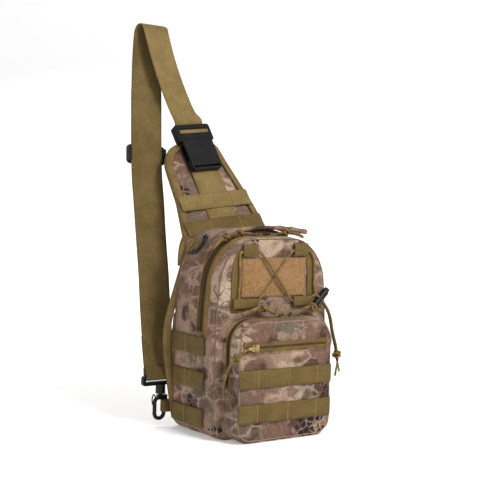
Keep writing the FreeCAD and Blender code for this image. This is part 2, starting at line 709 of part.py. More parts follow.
def shoulder_pad():
    """The padded shoulder piece, its edge tape, its webbing rows and the strap sewn down its middle."""
    body = new_body("shoulder_pad", PAD)
    pad(body, "XZ_Plane", D.pad_thick, 0, pad_edge(D.edge_tape + D.gap))
    tape = new_body("pad_binding", PAD)
    ring = pad_edge(sized(0)) + list(reversed(pad_edge(D.edge_tape)))
    pad(tape, "XZ_Plane", D.pad_thick + D.edge_proud, -D.edge_proud, ring)
    half = D.strap_wide * 0.5
    strap = new_body("pad_strap", PAD)
    rear = -(D.edge_proud + 0.2)
    low = D.pad_row_low + D.webbing + 0.5
    pad(strap, "XZ_Plane", rear, rear - D.strap_thick,
        rectangle(D.strap_x - half, D.strap_x + half, low, D.buckle_low + 3))
    rows = []
    front = rear - D.strap_thick - 0.2
    for low, reach in ((D.pad_row_low, D.pad_row_half + 5), (D.pad_row_high, D.pad_row_half)):
        deep = (front - D.webbing_thick, front)
        rows.append(block("pad_row", (-reach, reach), deep, (low, low + D.webbing)))
    finish(combined("Part::Compound", "pad_rows", rows), "pad_rows", PAD)


def buckle_female():
    """The buckle's socket: open at its mouth and at both sides, with a bar for the strap."""
    body = new_body("buckle_female", PAD)
    left, right = D.strap_x - D.buckle_half, D.strap_x + D.buckle_half
    low, mouth, turn = D.buckle_low, D.buckle_mouth, 5
    shape = [(left, low, turn), (right, low, turn), (right, mouth, 2), (left, mouth, 2)]
    pad(body, "XZ_Plane", D.buckle_rear, D.buckle_front, shape)
    skin, side = 2, 3
    cavity = rectangle(left + side, right - side, D.buckle_front + skin, D.buckle_rear - skin)
    cut(body, "XY_Plane", low + 8, mouth + 1, cavity)
    slot = rectangle(left + 2, right - 2, low + 3, low + 6.5)
    cut(body, "XZ_Plane", D.buckle_rear + 1, D.buckle_front - 1, slot)
    window = rectangle(D.buckle_front + skin, D.buckle_rear - skin, low + 17, mouth - 5)
    cut(body, "YZ_Plane", left - 1, right + 1, window)


def buckle_male():
    """The buckle's plug: a frame with a strap slot, which carries the two springy arms."""
    body = new_body("buckle_male", PAD)
    left, right = D.strap_x - D.buckle_male_half, D.strap_x + D.buckle_male_half
    low, top, turn = D.buckle_mouth + 0.4, D.buckle_top, 4
    front = D.buckle_front + 0.8
    shape = [(left, low, turn), (right, low, turn), (right, top, turn), (left, top, turn)]
    pad(body, "XZ_Plane", D.buckle_rear, front, shape)
    slot = rectangle(left + 6, right - 6, low + 14, low + 18)
    cut(body, "XZ_Plane", D.buckle_rear + 1, front - 1, slot)


def buckle_prong(label, side):
    """One of the plug's two springy arms, with its pressing pad."""
    body = new_body(label, PAD)
    x = D.strap_x
    root, tip = D.buckle_mouth + 0.1, D.buckle_mouth - 30
    inner, outer, face = 14 * side, 18 * side, 23.2 * side
    shape = [(x + inner, root), (x + inner, tip), (x + face - 3 * side, tip), (x + face, tip + 6),
             (x + face, tip + 12), (x + outer, tip + 17), (x + outer, root)]
    pad(body, "XZ_Plane", D.buckle_rear - 3.2, D.buckle_front + 3.2, shape)


# ------------------------------------------------------------------ strap
# stations down the strap: x, y, z of its middle, and how far its width is turned about z, in degrees
APEX = (-72, 171, 569, 12)
FRONT_RUN = [(-29, 155, 448, 9), (-44, 158, 481, 12), (-58, 162, 520, 14), (-67.5, 165.5, 554, 14),
             (-69.7, 167.5, 565, 13)]
REAR_RUN = [(-74.3, 175.5, 566, 10), (-76.5, 177, 554, 7), (-78.5, 175, 517, 3), (-80, 171.5, 482, 0),
            (-81.5, 168, 453, -2), (-86, 155, 362, -2), (-88, 143, 312, -2), (-90, 131, 262, 0),
            (-92.5, 117, 210, 0), (-95.5, 106, 168, 0), (-99, 92, 122, 0), (-103, 76, 80, 0),
            (-103.4, 74, 73, 0)]


def ribbon(label, stations):
    """A flat strap through its stations, with flat faces from one to the next."""
    half, thin = float(D.strap_wide) / 2, float(D.strap_thick) / 2
    places = [V(*station[:3]) for station in stations]
    sections = []
    for i, station in enumerate(stations):
        onward = places[min(i + 1, len(places) - 1)] - places[max(i - 1, 0)]
        turn = math.radians(station[3])
        tilt = math.radians(station[4]) if len(station) > 4 else 0
        across = V(math.cos(turn) * math.cos(tilt), math.sin(turn) * math.cos(tilt), math.sin(tilt))
        normal = across.cross(onward).normalize()
        ends = [across * half + normal * thin, across * half - normal * thin,
                across * -half - normal * thin, across * -half + normal * thin]
        corners = [places[i] + end for end in ends]
        sections.append(Part.makePolygon(corners + corners[:1]))
    solid(label, Part.makeLoft(sections, True, True))


def strap():
    """The strap: from the buckle's plug up to its highest fold, and from there down to the hook."""
    start = PAD.multVec(V(float(D.strap_x), -7.6, float(D.buckle_top) + 1.1))
    apart = (0.45, 0.75)
    above = (start.x - 2.5, start.y + 0.7, start.z + 9, 4, 5.6)
    front_end = (APEX[0] + apart[0], APEX[1] - apart[1], APEX[2], APEX[3])
    rear_end = (APEX[0] - apart[0], APEX[1] + apart[1], APEX[2], APEX[3])
    ribbon("strap_front", [(*start, 3.4, 5.6), above, *FRONT_RUN, front_end])
    ribbon("strap_rear", [rear_end, *REAR_RUN])


def triglide_frame():
    """A frame on the strap's upper rear run: z axis along the strap."""
    upper, lower = V(*REAR_RUN[4][:3]), V(*REAR_RUN[5][:3])
    along = (upper - lower).normalize()
    turn = math.radians(REAR_RUN[5][3])
    across = V(math.cos(turn), math.sin(turn), 0)
    across = (across - along * across.dot(along)).normalize()
    return Placement(lower + along * 18, Rotation(across, along.cross(across), along, "ZXY"))


def triglide():
    """The strap adjuster: a flat frame with two slots behind the strap, whose side bars reach round it."""
    body = new_body("triglide", triglide_frame())
    rear, front, half, high = 4.6, 1.5, 31, 14
    turn = 6
    shape = [(-half, -high, turn), (half, -high, turn), (half, high, turn), (-half, high, turn)]
    pad(body, "XZ_Plane", rear, front, shape)
    slot = 4
    for low in (-7, 3):
        cut(body, "XZ_Plane", rear + 1, front - 1, rectangle(-25.5, 25.5, low, low + slot))
    for side in (-1, 1):
        near, far = sorted((side * 25.6, side * half))
        pad(body, "XZ_Plane", front + 0.5, -3, [(near, 4 - high, 2), (far, 4 - high, 2), (far, high - 4, 2),
                                                (near, high - 4, 2)])


# ------------------------------------------------------------------ swivel hook
def hook_frame():
    """The hook's strap frame, with the boss that the hook swivels in."""
    x, y = D.hook_x, D.hook_y
    body = new_body("hook_frame")
    low, high, turn = 58, 72, 4
    shape = [(x - 30, low, turn), (x + 30, low, turn), (x + 30, high, turn), (x - 30, high, turn)]
    pad(body, "XZ_Plane", y + 3, y - 3, shape)
    cut(body, "XZ_Plane", y + 4, y - 4, rectangle(x - 25.6, x + 25.6, low + 5.5, low + 9.5))
    ring = [(cx + x, cy + y, r) for cx, cy, r in square_corners(7)]
    pad(body, "XY_Plane", 46, low + 1, ring)
    bore = [(cx + x, cy + y, r) for cx, cy, r in square_corners(3.4)]
    cut(body, "XY_Plane", 45, 54.5, bore)


def snap_hook():
    """The hook: a shank that turns in the boss, and a round wire bent to a J."""
    x, y, wire = float(D.hook_x), float(D.hook_y), float(D.hook_wire)
    limb = float(D.hook_limb)
    shank = Part.makeCylinder(3, 16.5, V(x, y, 37.5))
    yoke = Part.makeBox(14, 7, 6.5, V(x - 4.5, y - 3.5, 37.5))
    spine = x - limb - 3
    tip = x + limb
    turn = (tip - spine) / 2
    middle = (tip + spine) / 2
    start, knee, foot = V(x - 2, y, 40), V(spine, y, 31), V(spine, y, 18)
    path = Part.Wire([
        Part.Arc(start, V(x - 7.6, y, 37), knee).toShape(), Part.LineSegment(knee, foot).toShape(),
        Part.Arc(foot, V(middle, y, 18 - turn), V(tip, y, 18)).toShape(),
        Part.LineSegment(V(tip, y, 18), V(tip, y, 21.5)).toShape(),
    ])
    ring = Part.Wire([Part.Circle(V(tip, y, 21.5), Z_AXIS, wire - 0.4).toShape()])
    wire_shape = path.makePipeShell([ring], True, False)
    solid("snap_hook", shank.fuse([yoke, wire_shape]).removeSplitter())


def hook_gate():
    """The spring gate that closes the hook's mouth."""
    tip, radius, low, pivot = D.hook_x + D.hook_limb, 2.4, 22, 34.8
    arm = rod("gate_arm", radius, (tip, D.hook_y, low), Z_AXIS, pivot - low)
    knuckle = ball("gate_knuckle", radius, (float(tip), float(D.hook_y), pivot))
    finish(combined("Part::MultiFuse", "hook_gate", [arm, knuckle]), "hook_gate")


# ------------------------------------------------------------------ build, check and write
def build():
    """Makes every sub-part in the order of the bag's assembly."""
    rear_gusset()
    lower_shell()
    zipper_half("main_zip_rear", MAIN, D.zip_line, 1, (D.zip_end + D.gap, D.zip_rear - D.gap))
    zipper_half("main_zip_front", MAIN, D.zip_line, -1, (D.zip_end + D.gap, D.flap_rear + D.gap))
    flap_shell("flap_shell", MAIN, D.flap_fold + D.gap, D.flap_rear, D.front_face)
    flap_binding()
    side_rows()
    back_panel()
    hook_tab("hook_tab_left", -1)
    hook_tab("hook_tab_right", 1)
    patch()
    cord_lock()
    cords()
    pouch_body()
    zipper_half("pouch_zip_rear", POUCH, D.pouch_zip_line, 1,
                (D.pouch_fold + D.gap, D.pouch_zip_rear - D.gap))
    zipper_half("pouch_zip_front", POUCH, D.pouch_zip_line, -1,
                (D.pouch_fold + D.gap, D.pouch_flap_rear + D.gap))
    pouch_flap()
    flat_pocket()
    pouch_row("pouch_row_low", D.pouch_row_low)
    pouch_row("pouch_row_high", D.pouch_row_high)
    sliders()
    accessory_ring()
    shoulder_pad()
    buckle_female()
    buckle_male()
    buckle_prong("prong_left", -1)
    buckle_prong("prong_right", 1)
    strap()
    triglide()
    hook_frame()
    snap_hook()
    hook_gate()


def check():
    """Stops on any failed object or broken shape."""
    doc.recompute()
    for thing in doc.Objects:
        if "Invalid" in thing.State or "Error" in thing.State:
            raise SystemExit(f"{thing.Name} failed: {thing.State}")
    for node in NODES:
        if node.Shape.isNull() or not node.Shape.isValid() or node.Shape.Volume <= 0:
            raise SystemExit(f"{node.Label} has no valid shape")


def export():
    """Writes each sub-part to its own file."""
    os.makedirs("parts", exist_ok=True)
    for node in NODES:
        node.Shape.exportStep(f"parts/{node.Label}.step")
    print(len(NODES), "sub-parts")


build()
check()
export()
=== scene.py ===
"""Sling bag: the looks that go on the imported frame.

Shapes are worked out in millimetres in the bag's frame (x to its right, -y its front, z up) and written in
metres. Cloth, webbing and cord are modelled here; moulded pieces keep their solids and get a finish.
"""
import math
from collections import namedtuple
from functools import reduce

import bmesh
import bpy
import numpy as np
from mathutils import Matrix, Vector, noise


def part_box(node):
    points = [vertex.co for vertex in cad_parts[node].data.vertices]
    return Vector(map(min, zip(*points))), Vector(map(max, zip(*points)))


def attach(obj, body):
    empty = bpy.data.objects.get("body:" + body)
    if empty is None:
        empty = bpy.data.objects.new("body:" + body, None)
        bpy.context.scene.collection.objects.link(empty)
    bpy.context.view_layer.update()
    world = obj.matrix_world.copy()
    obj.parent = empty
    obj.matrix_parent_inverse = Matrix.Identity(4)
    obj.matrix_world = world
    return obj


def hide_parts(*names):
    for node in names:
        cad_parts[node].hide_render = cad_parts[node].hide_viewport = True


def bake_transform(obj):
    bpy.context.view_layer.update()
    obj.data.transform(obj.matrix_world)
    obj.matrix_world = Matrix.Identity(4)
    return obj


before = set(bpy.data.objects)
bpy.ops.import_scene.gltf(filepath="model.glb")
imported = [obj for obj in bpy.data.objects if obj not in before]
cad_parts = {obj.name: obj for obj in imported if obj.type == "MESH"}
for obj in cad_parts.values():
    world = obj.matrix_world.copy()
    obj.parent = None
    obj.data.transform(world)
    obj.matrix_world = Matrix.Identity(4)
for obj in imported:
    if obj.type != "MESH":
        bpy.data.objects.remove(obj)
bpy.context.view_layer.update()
MM = 0.001
SIDES = (("left", -1), ("right", 1))
ROW_WIDTH, STRAP_WIDTH = 25, 50
SIDE_ROWS_LOW = (14, 64.5, 111.5)
POCKET_Z = 128
MAIN_ZIP_Y, POUCH_ZIP_Y = -8, -56
MAIN_FACE_Y, POUCH_FACE_Y = -46, -80


# ------------------------------------------------------------------ camera, light and floor
def make_camera():
    """The camera, at chest height and to the left of the bag's front."""
    right, up = Vector((0.82044, -0.57101, 0.02854)), Vector((0.01055, 0.06503, 0.99783))
    away = right.cross(up)
    place = Vector((-0.93864, -1.30769, 0.36000))
    data = bpy.data.cameras.new("camera")
    data.sensor_width = 36
    data.lens = 86.9
    camera = bpy.data.objects.new("camera", data)
    camera.matrix_world = Matrix((
        (right.x, up.x, away.x, place.x), (right.y, up.y, away.y, place.y),
        (right.z, up.z, away.z, place.z), (0, 0, 0, 1)))
    bpy.context.collection.objects.link(camera)
    bpy.context.scene.camera = camera


def make_light(name, place, target, size, watts):
    """A soft square light that looks at a point."""
    data = bpy.data.lights.new(name, "AREA")
    data.size = size
    data.energy = watts
    light = bpy.data.objects.new(name, data)
    light.location = place
    light.rotation_euler = (Vector(target) - Vector(place)).to_track_quat("-Z", "Y").to_euler()
    bpy.context.collection.objects.link(light)


make_camera()
bpy.context.scene.view_settings.view_transform = "Standard"
make_light("key", (0.3, -1.9, 2.0), (0, 0, 0.2), 0.8, 62)
make_light("fill", (-1.9, -0.9, 1.0), (0, 0, 0.25), 1.6, 8)
make_light("rim", (0.9, 1.7, 1.8), (0, 0, 0.3), 1.4, 30)
world = bpy.data.worlds.new("studio")
bpy.context.scene.world = world
world.use_nodes = True
world.node_tree.nodes["Background"].inputs["Color"].default_value = (1, 1, 1, 1)
world.node_tree.nodes["Background"].inputs["Strength"].default_value = 0.42


# ------------------------------------------------------------------ node helpers
class Nodes:
    """Short ways to build one material's node tree."""

    def __init__(self, name):
        self.material = bpy.data.materials.new(name)
        self.material.use_nodes = True
        self.tree = self.material.node_tree
        self.shader = self.tree.nodes["Principled BSDF"]
        self.where = self.add("ShaderNodeTexCoord")

    def add(self, kind, **values):
        """A node with its properties set."""
        node = self.tree.nodes.new(kind)
        for key, value in values.items():
            setattr(node, key, value)
        return node

    def link(self, source, target):
        """Feeds a number, a colour or an output into an input."""
        if isinstance(source, (int, float)):
            target.default_value = source
        elif isinstance(source, tuple):
            target.default_value = (*source, 1) if len(source) == 3 else source
        else:
            self.tree.links.new(source, target)

    def math(self, operation, a, b=0.0):
        """One step of arithmetic."""
        node = self.add("ShaderNodeMath", operation=operation)
        self.link(a, node.inputs[0])
        self.link(b, node.inputs[1])
        return node.outputs[0]

    def times(self, *factors):
        """Their product."""
        return reduce(lambda a, b: self.math("MULTIPLY", a, b), factors)

    def plus(self, a, b):
        """Their sum."""
        return self.math("ADD", a, b)

    def scaled(self, vector, scales):
        """A vector with each axis scaled."""
        node = self.add("ShaderNodeVectorMath", operation="MULTIPLY")
        self.link(vector, node.inputs[0])
        node.inputs[1].default_value = scales
        return node.outputs[0]

    def noise(self, scale, detail=3.0, vector=None, rough=0.5, seed=0.0, colour=False):
        """Noise of a scale per metre; seed moves it along its fourth axis."""
        node = self.add("ShaderNodeTexNoise", noise_dimensions="4D")
        self.link(vector or self.where.outputs["Object"], node.inputs["Vector"])
        node.inputs["W"].default_value = seed
        node.inputs["Scale"].default_value = scale
        node.inputs["Detail"].default_value = detail
        node.inputs["Roughness"].default_value = rough
        return node.outputs["Color" if colour else "Fac"]

    def cells(self, scale, vector=None, feature="DISTANCE_TO_EDGE"):
        """Voronoi cells: how far a point is from its cell's edge, or with F1 from its heart."""
        node = self.add("ShaderNodeTexVoronoi", feature=feature)
        self.link(vector or self.where.outputs["Object"], node.inputs["Vector"])
        node.inputs["Scale"].default_value = scale
        return node.outputs["Distance"]

    def between(self, value, low, high):
        """0 below low, 1 above high, smooth between them; falls instead if low is the larger."""
        node = self.add("ShaderNodeMapRange", interpolation_type="SMOOTHSTEP")
        self.link(value, node.inputs["Value"])
        flip = low > high
        node.inputs["From Min"].default_value = min(low, high)
        node.inputs["From Max"].default_value = max(low, high)
        node.inputs["To Min"].default_value = 1.0 if flip else 0.0
        node.inputs["To Max"].default_value = 0.0 if flip else 1.0
        return node.outputs[0]

    def mix(self, share, a, b, blend="MIX"):
        """One colour over another."""
        node = self.add("ShaderNodeMix", data_type="RGBA", blend_type=blend)
        self.link(share, node.inputs[0])
        self.link(a, node.inputs[6])
        self.link(b, node.inputs[7])
        return node.outputs[2]

    def speckled(self, colour, scale, low, high, seed=21.0):
        """A colour made lighter and darker by a fine grain."""
        speck = self.noise(scale, 3.0, rough=0.8, seed=seed)
        shade = self.mix(self.between(speck, 0.36, 0.64), (low, low, low), (high, high, high))
        return self.mix(1.0, colour, shade, "MULTIPLY")

    def near(self, place, spots):
        """1 near any of the spots (centre, reach) and 0 away from them."""
        warp_mean = 0.015
        gathered = None
        for centre, reach in spots:
            away = self.add("ShaderNodeVectorMath", operation="DISTANCE")
            self.link(place, away.inputs[0])
            away.inputs[1].default_value = [c + warp_mean for c in centre]
            close = self.between(away.outputs["Value"], reach, reach * 0.7)
            gathered = close if gathered is None else self.math("MAXIMUM", gathered, close)
        return gathered

    def warped(self, scale, amount, seed=0.0):
        """Object coordinates pushed about by noise."""
        shift = self.add("ShaderNodeVectorMath", operation="MULTIPLY_ADD")
        self.link(self.noise(scale, 2.0, seed=seed, colour=True), shift.inputs[0])
        shift.inputs[1].default_value = (amount, amount, amount)
        self.link(self.where.outputs["Object"], shift.inputs[2])
        return shift.outputs[0]

    def finish(self, colour, rough, height=None, depth=0.0002, sheen=0.0, metal=0.0, gloss=0.18):
        """Joins everything to the shader."""
        self.shader.inputs["Specular IOR Level"].default_value = gloss
        self.link(colour, self.shader.inputs["Base Color"])
        self.link(rough, self.shader.inputs["Roughness"])
        self.shader.inputs["Metallic"].default_value = metal
        self.shader.inputs["Sheen Weight"].default_value = sheen
        if height is not None:
            bump = self.add("ShaderNodeBump")
            bump.inputs["Distance"].default_value = depth
            self.link(height, bump.inputs["Height"])
            self.link(bump.outputs[0], self.shader.inputs["Normal"])
        return self.material


# ------------------------------------------------------------------ materials
# where the print's near-black cells gather and where its pale ones do: centre and reach, in metres
DARK_CLUSTERS = [
    ((0.046, -0.082, 0.013), 0.030), ((0.074, -0.080, 0.064), 0.017), ((-0.093, 0.006, 0.050), 0.017),
    ((-0.085, -0.038, 0.014), 0.016), ((-0.061, 0.105, 0.322), 0.020), ((0.093, 0.020, 0.190), 0.030),
    ((0.020, 0.030, 0.276), 0.022), ((-0.030, -0.046, 0.268), 0.012)]
CREAM_PATCHES = [
    ((-0.070, -0.070, 0.136), 0.017), ((-0.074, -0.068, 0.118), 0.015), ((-0.060, -0.070, 0.150), 0.014),
    ((-0.080, -0.040, 0.200), 0.018)]


def camo_material():
    """Printed nylon: soft earth blotches, leaf-like cells with pale rims, cream patches and dark clusters."""
    n = Nodes("camo_cloth")
    place = n.warped(26, 0.030)
    rim = (0.42, 0.30, 0.22)
    colour = n.mix(n.between(n.noise(17, 4, place, seed=1.0), 0.43, 0.57), (0.150, 0.082, 0.056),
                   (0.270, 0.172, 0.120))
    colour = n.mix(n.between(n.noise(22, 3, place, seed=4.0), 0.53, 0.62), colour, (0.128, 0.098, 0.070))
    colour = n.mix(n.between(n.noise(24, 3, place, seed=7.0), 0.55, 0.64), colour, (0.062, 0.030, 0.021))
    pale = n.between(n.noise(15, 3, place, seed=11.0), 0.57, 0.66)
    colour = n.mix(n.times(pale, 0.8), colour, (0.440, 0.320, 0.225))
    fine = n.noise(150, 4, seed=2.0, rough=0.7)
    colour = n.mix(n.between(fine, 0.50, 0.72), colour, n.mix(0.28, colour, (0.42, 0.30, 0.21)))
    leaf = n.scaled(n.warped(50, 0.012, 3.0), (0.62, 0.62, 1.0))
    zone = n.between(n.noise(15, 2, seed=5.0), 0.47, 0.56)
    from_edge = n.cells(50, leaf)
    colour = n.mix(n.times(n.between(from_edge, 0.10, 0.28), zone, 0.72), colour, (0.112, 0.058, 0.038))
    colour = n.mix(n.times(n.between(from_edge, 0.105, 0.030), zone, 0.52), colour, rim)
    small_web = n.times(n.between(n.cells(104, leaf), 0.07, 0.02),
                        n.between(n.noise(21, 2, seed=9.0), 0.57, 0.63))
    colour = n.mix(n.times(small_web, 0.5), colour, rim)
    cream = n.times(n.near(place, CREAM_PATCHES), n.between(n.cells(62, leaf), 0.03, 0.08))
    colour = n.mix(n.times(cream, 0.85), colour, (0.430, 0.325, 0.235))
    black = n.between(n.cells(115, n.warped(80, 0.006, 6.0)), 0.09, 0.15)
    colour = n.mix(n.times(black, n.near(place, DARK_CLUSTERS), 0.94), colour, (0.012, 0.008, 0.007))
    height = n.plus(n.noise(1500, 2, seed=3.0), n.times(n.noise(230, 3, seed=8.0), 1.6))
    return n.finish(n.speckled(colour, 330, 0.74, 1.20), n.plus(n.times(fine, 0.2), 0.66), height, 0.00045,
                    0.04)


def woven_material(name, light, dark, pitch=1.5, depth=0.0003):
    """Webbing or tape: its ribs run by the piece's own length and width, in millimetres."""
    n = Nodes(name)
    streak = 0.25
    parts = n.add("ShaderNodeSeparateXYZ")
    n.link(n.where.outputs["UV"], parts.inputs[0])
    turn = 2 * math.pi / pitch
    slant = n.plus(parts.outputs[0], n.times(parts.outputs[1], 0.35))
    across = n.math("SINE", n.times(parts.outputs[1], turn / 1.3))
    ribs = n.times(n.math("SINE", n.times(slant, turn)), across)
    height = n.plus(n.times(ribs, 0.5), n.times(across, 0.25))
    threads = n.noise(1.0, 3, n.scaled(n.where.outputs["UV"], (0.03, 1.1, 1)), seed=1.0)
    patches = n.noise(45, 4, seed=2.0)
    grain = n.noise(700, 3, seed=3.0, rough=0.7)
    share = n.plus(n.times(threads, streak), n.times(patches, 1 - streak))
    share = n.plus(share, n.times(n.math("SUBTRACT", grain, 0.5), 0.35))
    colour = n.mix(n.between(share, 0.33, 0.66), dark, light)
    wide_ribs = n.math("SINE", n.times(slant, turn / 2.1))
    colour = n.mix(n.between(wide_ribs, 0.1, -0.9), colour, n.mix(0.5, colour, tuple(c * 0.55 for c in dark)))
    # the weave's grooves, where the ribs' bump is low, are darkened: painted shade
    colour = n.mix(n.between(ribs, -0.2, -1.0), colour, n.mix(0.35, colour, dark))
    height = n.plus(height, n.times(grain, 0.5))
    return n.finish(n.speckled(colour, 460, 0.80, 1.14), 0.82, height, depth, 0.03)


def fuzzy_material():
    """Loop fabric: short soft pile."""
    n = Nodes("loop_pile")
    pile = n.noise(1400, 4, seed=1.0, rough=0.8)
    tufts = n.noise(320, 4, seed=2.0, rough=0.7)
    wide = n.noise(35, 3, seed=4.0)
    colour = n.mix(n.between(tufts, 0.35, 0.65), (0.205, 0.105, 0.038), (0.320, 0.180, 0.074))
    colour = n.mix(n.between(wide, 0.35, 0.7), colour, n.mix(0.4, colour, (0.36, 0.21, 0.09)))
    return n.finish(colour, 0.95, n.plus(pile, n.times(tufts, 1.5)), 0.0009, 0.12)


def air_mesh_material():
    """Padded mesh: small dark holes in a soft tan knit."""
    n = Nodes("air_mesh")
    hole = n.between(n.cells(360, feature="F1"), 0.34, 0.22)
    tone = n.mix(n.between(n.noise(40, 3), 0.35, 0.65), (0.205, 0.145, 0.070), (0.285, 0.205, 0.105))
    # the holes are painted dark: painted shade inside them
    colour = n.mix(hole, tone, (0.055, 0.038, 0.020))
    return n.finish(colour, 0.92, n.math("SUBTRACT", 1.0, hole), 0.0006, 0.3)


def cord_material():
    """Braided cord: small rounded plaits."""
    n = Nodes("braid")
    plait = n.cells(760, feature="F1")
    tone = n.noise(120, 3, seed=2.0)
    colour = n.mix(n.between(tone, 0.35, 0.65), (0.150, 0.090, 0.030), (0.270, 0.172, 0.062))
    # darker between the plaits, where the bump is low: painted shade in the grooves
    colour = n.mix(n.between(plait, 0.35, 0.75), colour, n.mix(0.5, colour, (0.11, 0.07, 0.026)))
    return n.finish(colour, 0.75, n.math("SUBTRACT", 1.0, plait), 0.0005, 0.04)


def plastic_material(name="satin_black", base=(0.0055, 0.0057, 0.0056), rough=0.34):
    """Moulded satin plastic with a fine texture and worn, paler rubs."""
    n = Nodes(name)
    grain = n.noise(1100, 3, seed=1.0)
    rub = n.noise(60, 4, seed=2.0)
    colour = n.mix(n.between(rub, 0.5, 0.75), base, tuple(c * 1.9 for c in base))
    uneven = n.plus(n.times(rub, 0.18), rough - 0.09)
    return n.finish(colour, uneven, grain, 0.00006, gloss=0.22)


def metal_material(name, light, dark, rough):
    """Die-cast metal with tarnish."""
    n = Nodes(name)
    tarnish = n.noise(420, 4, seed=1.0, rough=0.7)
    colour = n.mix(n.between(tarnish, 0.35, 0.65), dark, light)
    return n.finish(colour, n.plus(n.times(tarnish, 0.25), rough), tarnish, 0.00008, metal=1.0)


def thread_material(name, colour):
    """Sewing thread."""
    n = Nodes(name)
    twist = n.noise(1300, 2)
    tone = n.mix(n.between(twist, 0.3, 0.7), tuple(c * 0.7 for c in colour), colour)
    return n.finish(tone, 0.7, twist, 0.0002, gloss=0.25)


CAMO = camo_material()
WEBBING = woven_material("row_webbing", (0.178, 0.118, 0.035), (0.118, 0.076, 0.022))
# STRAP and the rear run's copy below are one webbing in a lit and a shaded copy: the lighter STRAP holds
# painted light, on the front run and the pad; the darker rear copy holds painted shade.
STRAP = woven_material("strap_webbing", (0.275, 0.190, 0.068), (0.190, 0.128, 0.043), 1.7, 0.0004)
STRAP_PAINTED_SHADE = woven_material("strap_webbing_rear_painted_shade", (0.185, 0.126, 0.043), (0.122, 0.081, 0.027), 1.7, 0.0004)
BINDING = woven_material("edge_tape", (0.245, 0.160, 0.058), (0.160, 0.102, 0.034), 1.2, 0.0003)
ORANGE_TAPE = woven_material("flap_tape", (0.285, 0.165, 0.045), (0.190, 0.105, 0.028), 1.2, 0.0003)
ZIP_TAPE = woven_material("zip_cloth", (0.105, 0.062, 0.021), (0.060, 0.035, 0.012), 0.9, 0.0002)
POCKET_TAPE = woven_material("pocket_cloth", (0.190, 0.118, 0.038), (0.120, 0.073, 0.022), 0.9, 0.0002)
LINING = woven_material("lining_cloth", (0.150, 0.115, 0.065), (0.110, 0.082, 0.045), 0.8, 0.0001)
PATCH = fuzzy_material()
AIR_MESH = air_mesh_material()
CORD = cord_material()
PLASTIC = plastic_material()
BRASS = metal_material("old_brass", (0.56, 0.44, 0.20), (0.25, 0.18, 0.07), 0.26)
STEEL = metal_material("spring_wire", (0.60, 0.60, 0.60), (0.36, 0.36, 0.36), 0.22)
COIL = plastic_material("zip_coil", (0.052, 0.034, 0.014), 0.42)
THREAD = thread_material("tan_thread", (0.36, 0.195, 0.060))
TACK = thread_material("orange_thread", (0.43, 0.235, 0.070))
DARK_THREAD = thread_material("brown_thread", (0.12, 0.075, 0.028))
PIPING = thread_material("pink_piping", (0.30, 0.190, 0.132))
DULL_PIPING = thread_material("brown_piping", (0.185, 0.115, 0.080))
# a near-black material standing for the shade inside the rain lip's open end: painted shade
SHADE = thread_material("painted_shade_inside", (0.030, 0.022, 0.014))


# ------------------------------------------------------------------ mesh helpers, all in millimetres
def make_mesh(name, points, faces, material, uvs=None):
    """A smooth mesh object from points in millimetres."""
    data = bpy.data.meshes.new(name)
    data.from_pydata([tuple(p) for p in np.asarray(points, float) * MM], [], faces)
    data.materials.append(material)
    data.polygons.foreach_set("use_smooth", [True] * len(data.polygons))
    if uvs is not None:
        layer = data.uv_layers.new(name="UVMap")
        corners = np.empty(len(data.loops), int)
        data.loops.foreach_get("vertex_index", corners)
        layer.data.foreach_set("uv", np.asarray(uvs, float)[corners].ravel())
    data.validate()
    thing = bpy.data.objects.new(name, data)
    bpy.context.collection.objects.link(thing)
    return thing


def skin(rows, ring, wrap_rows=False, wrap_ring=True, base=0):
    """Faces between neighbouring points of a grid of rows with ring points each."""
    return [(base + a + k, base + a + (k + 1) % ring, base + b + (k + 1) % ring, base + b + k)
            for a, b in ((i * ring, (i + 1) % rows * ring) for i in range(rows if wrap_rows else rows - 1))
            for k in range(ring if wrap_ring else ring - 1)]


def ends_of(rows, ring):
    """The two faces that close a grid's first and last rows."""
    return [tuple(range(ring))[::-1], tuple(range((rows - 1) * ring, rows * ring))]


def lengths(line):
    """How far along a line each of its points is."""
    return np.concatenate([[0], np.cumsum(np.linalg.norm(np.diff(line, axis=0), axis=1))])


def along_line(line, far, distance):
    """The point of a line at a distance along it."""
    return np.array([np.interp(distance, far, line[:, k]) for k in range(3)])


def baked(thing):
    """Applies a piece's modifiers to its mesh."""
    graph = bpy.context.evaluated_depsgraph_get()
    data = bpy.data.meshes.new_from_object(thing.evaluated_get(graph))
    thing.modifiers.clear()
    old = thing.data
    thing.data = data
    bpy.data.meshes.remove(old)
    return thing


def thicken(thing, thick):
    """Gives a surface its cloth's thickness, inwards."""
    shell = thing.modifiers.new("cloth", "SOLIDIFY")
    shell.thickness = thick * MM
    shell.offset = -1
    return baked(thing)


def resampled(points, count, closed=False):
    """The same line with evenly spread points."""
    points = np.asarray(points, float)
    if closed:
        points = np.vstack([points, points[:1]])
    far = lengths(points)
    wanted = np.linspace(0, far[-1], count, endpoint=not closed)
    return np.column_stack([np.interp(wanted, far, points[:, k]) for k in range(points.shape[1])])


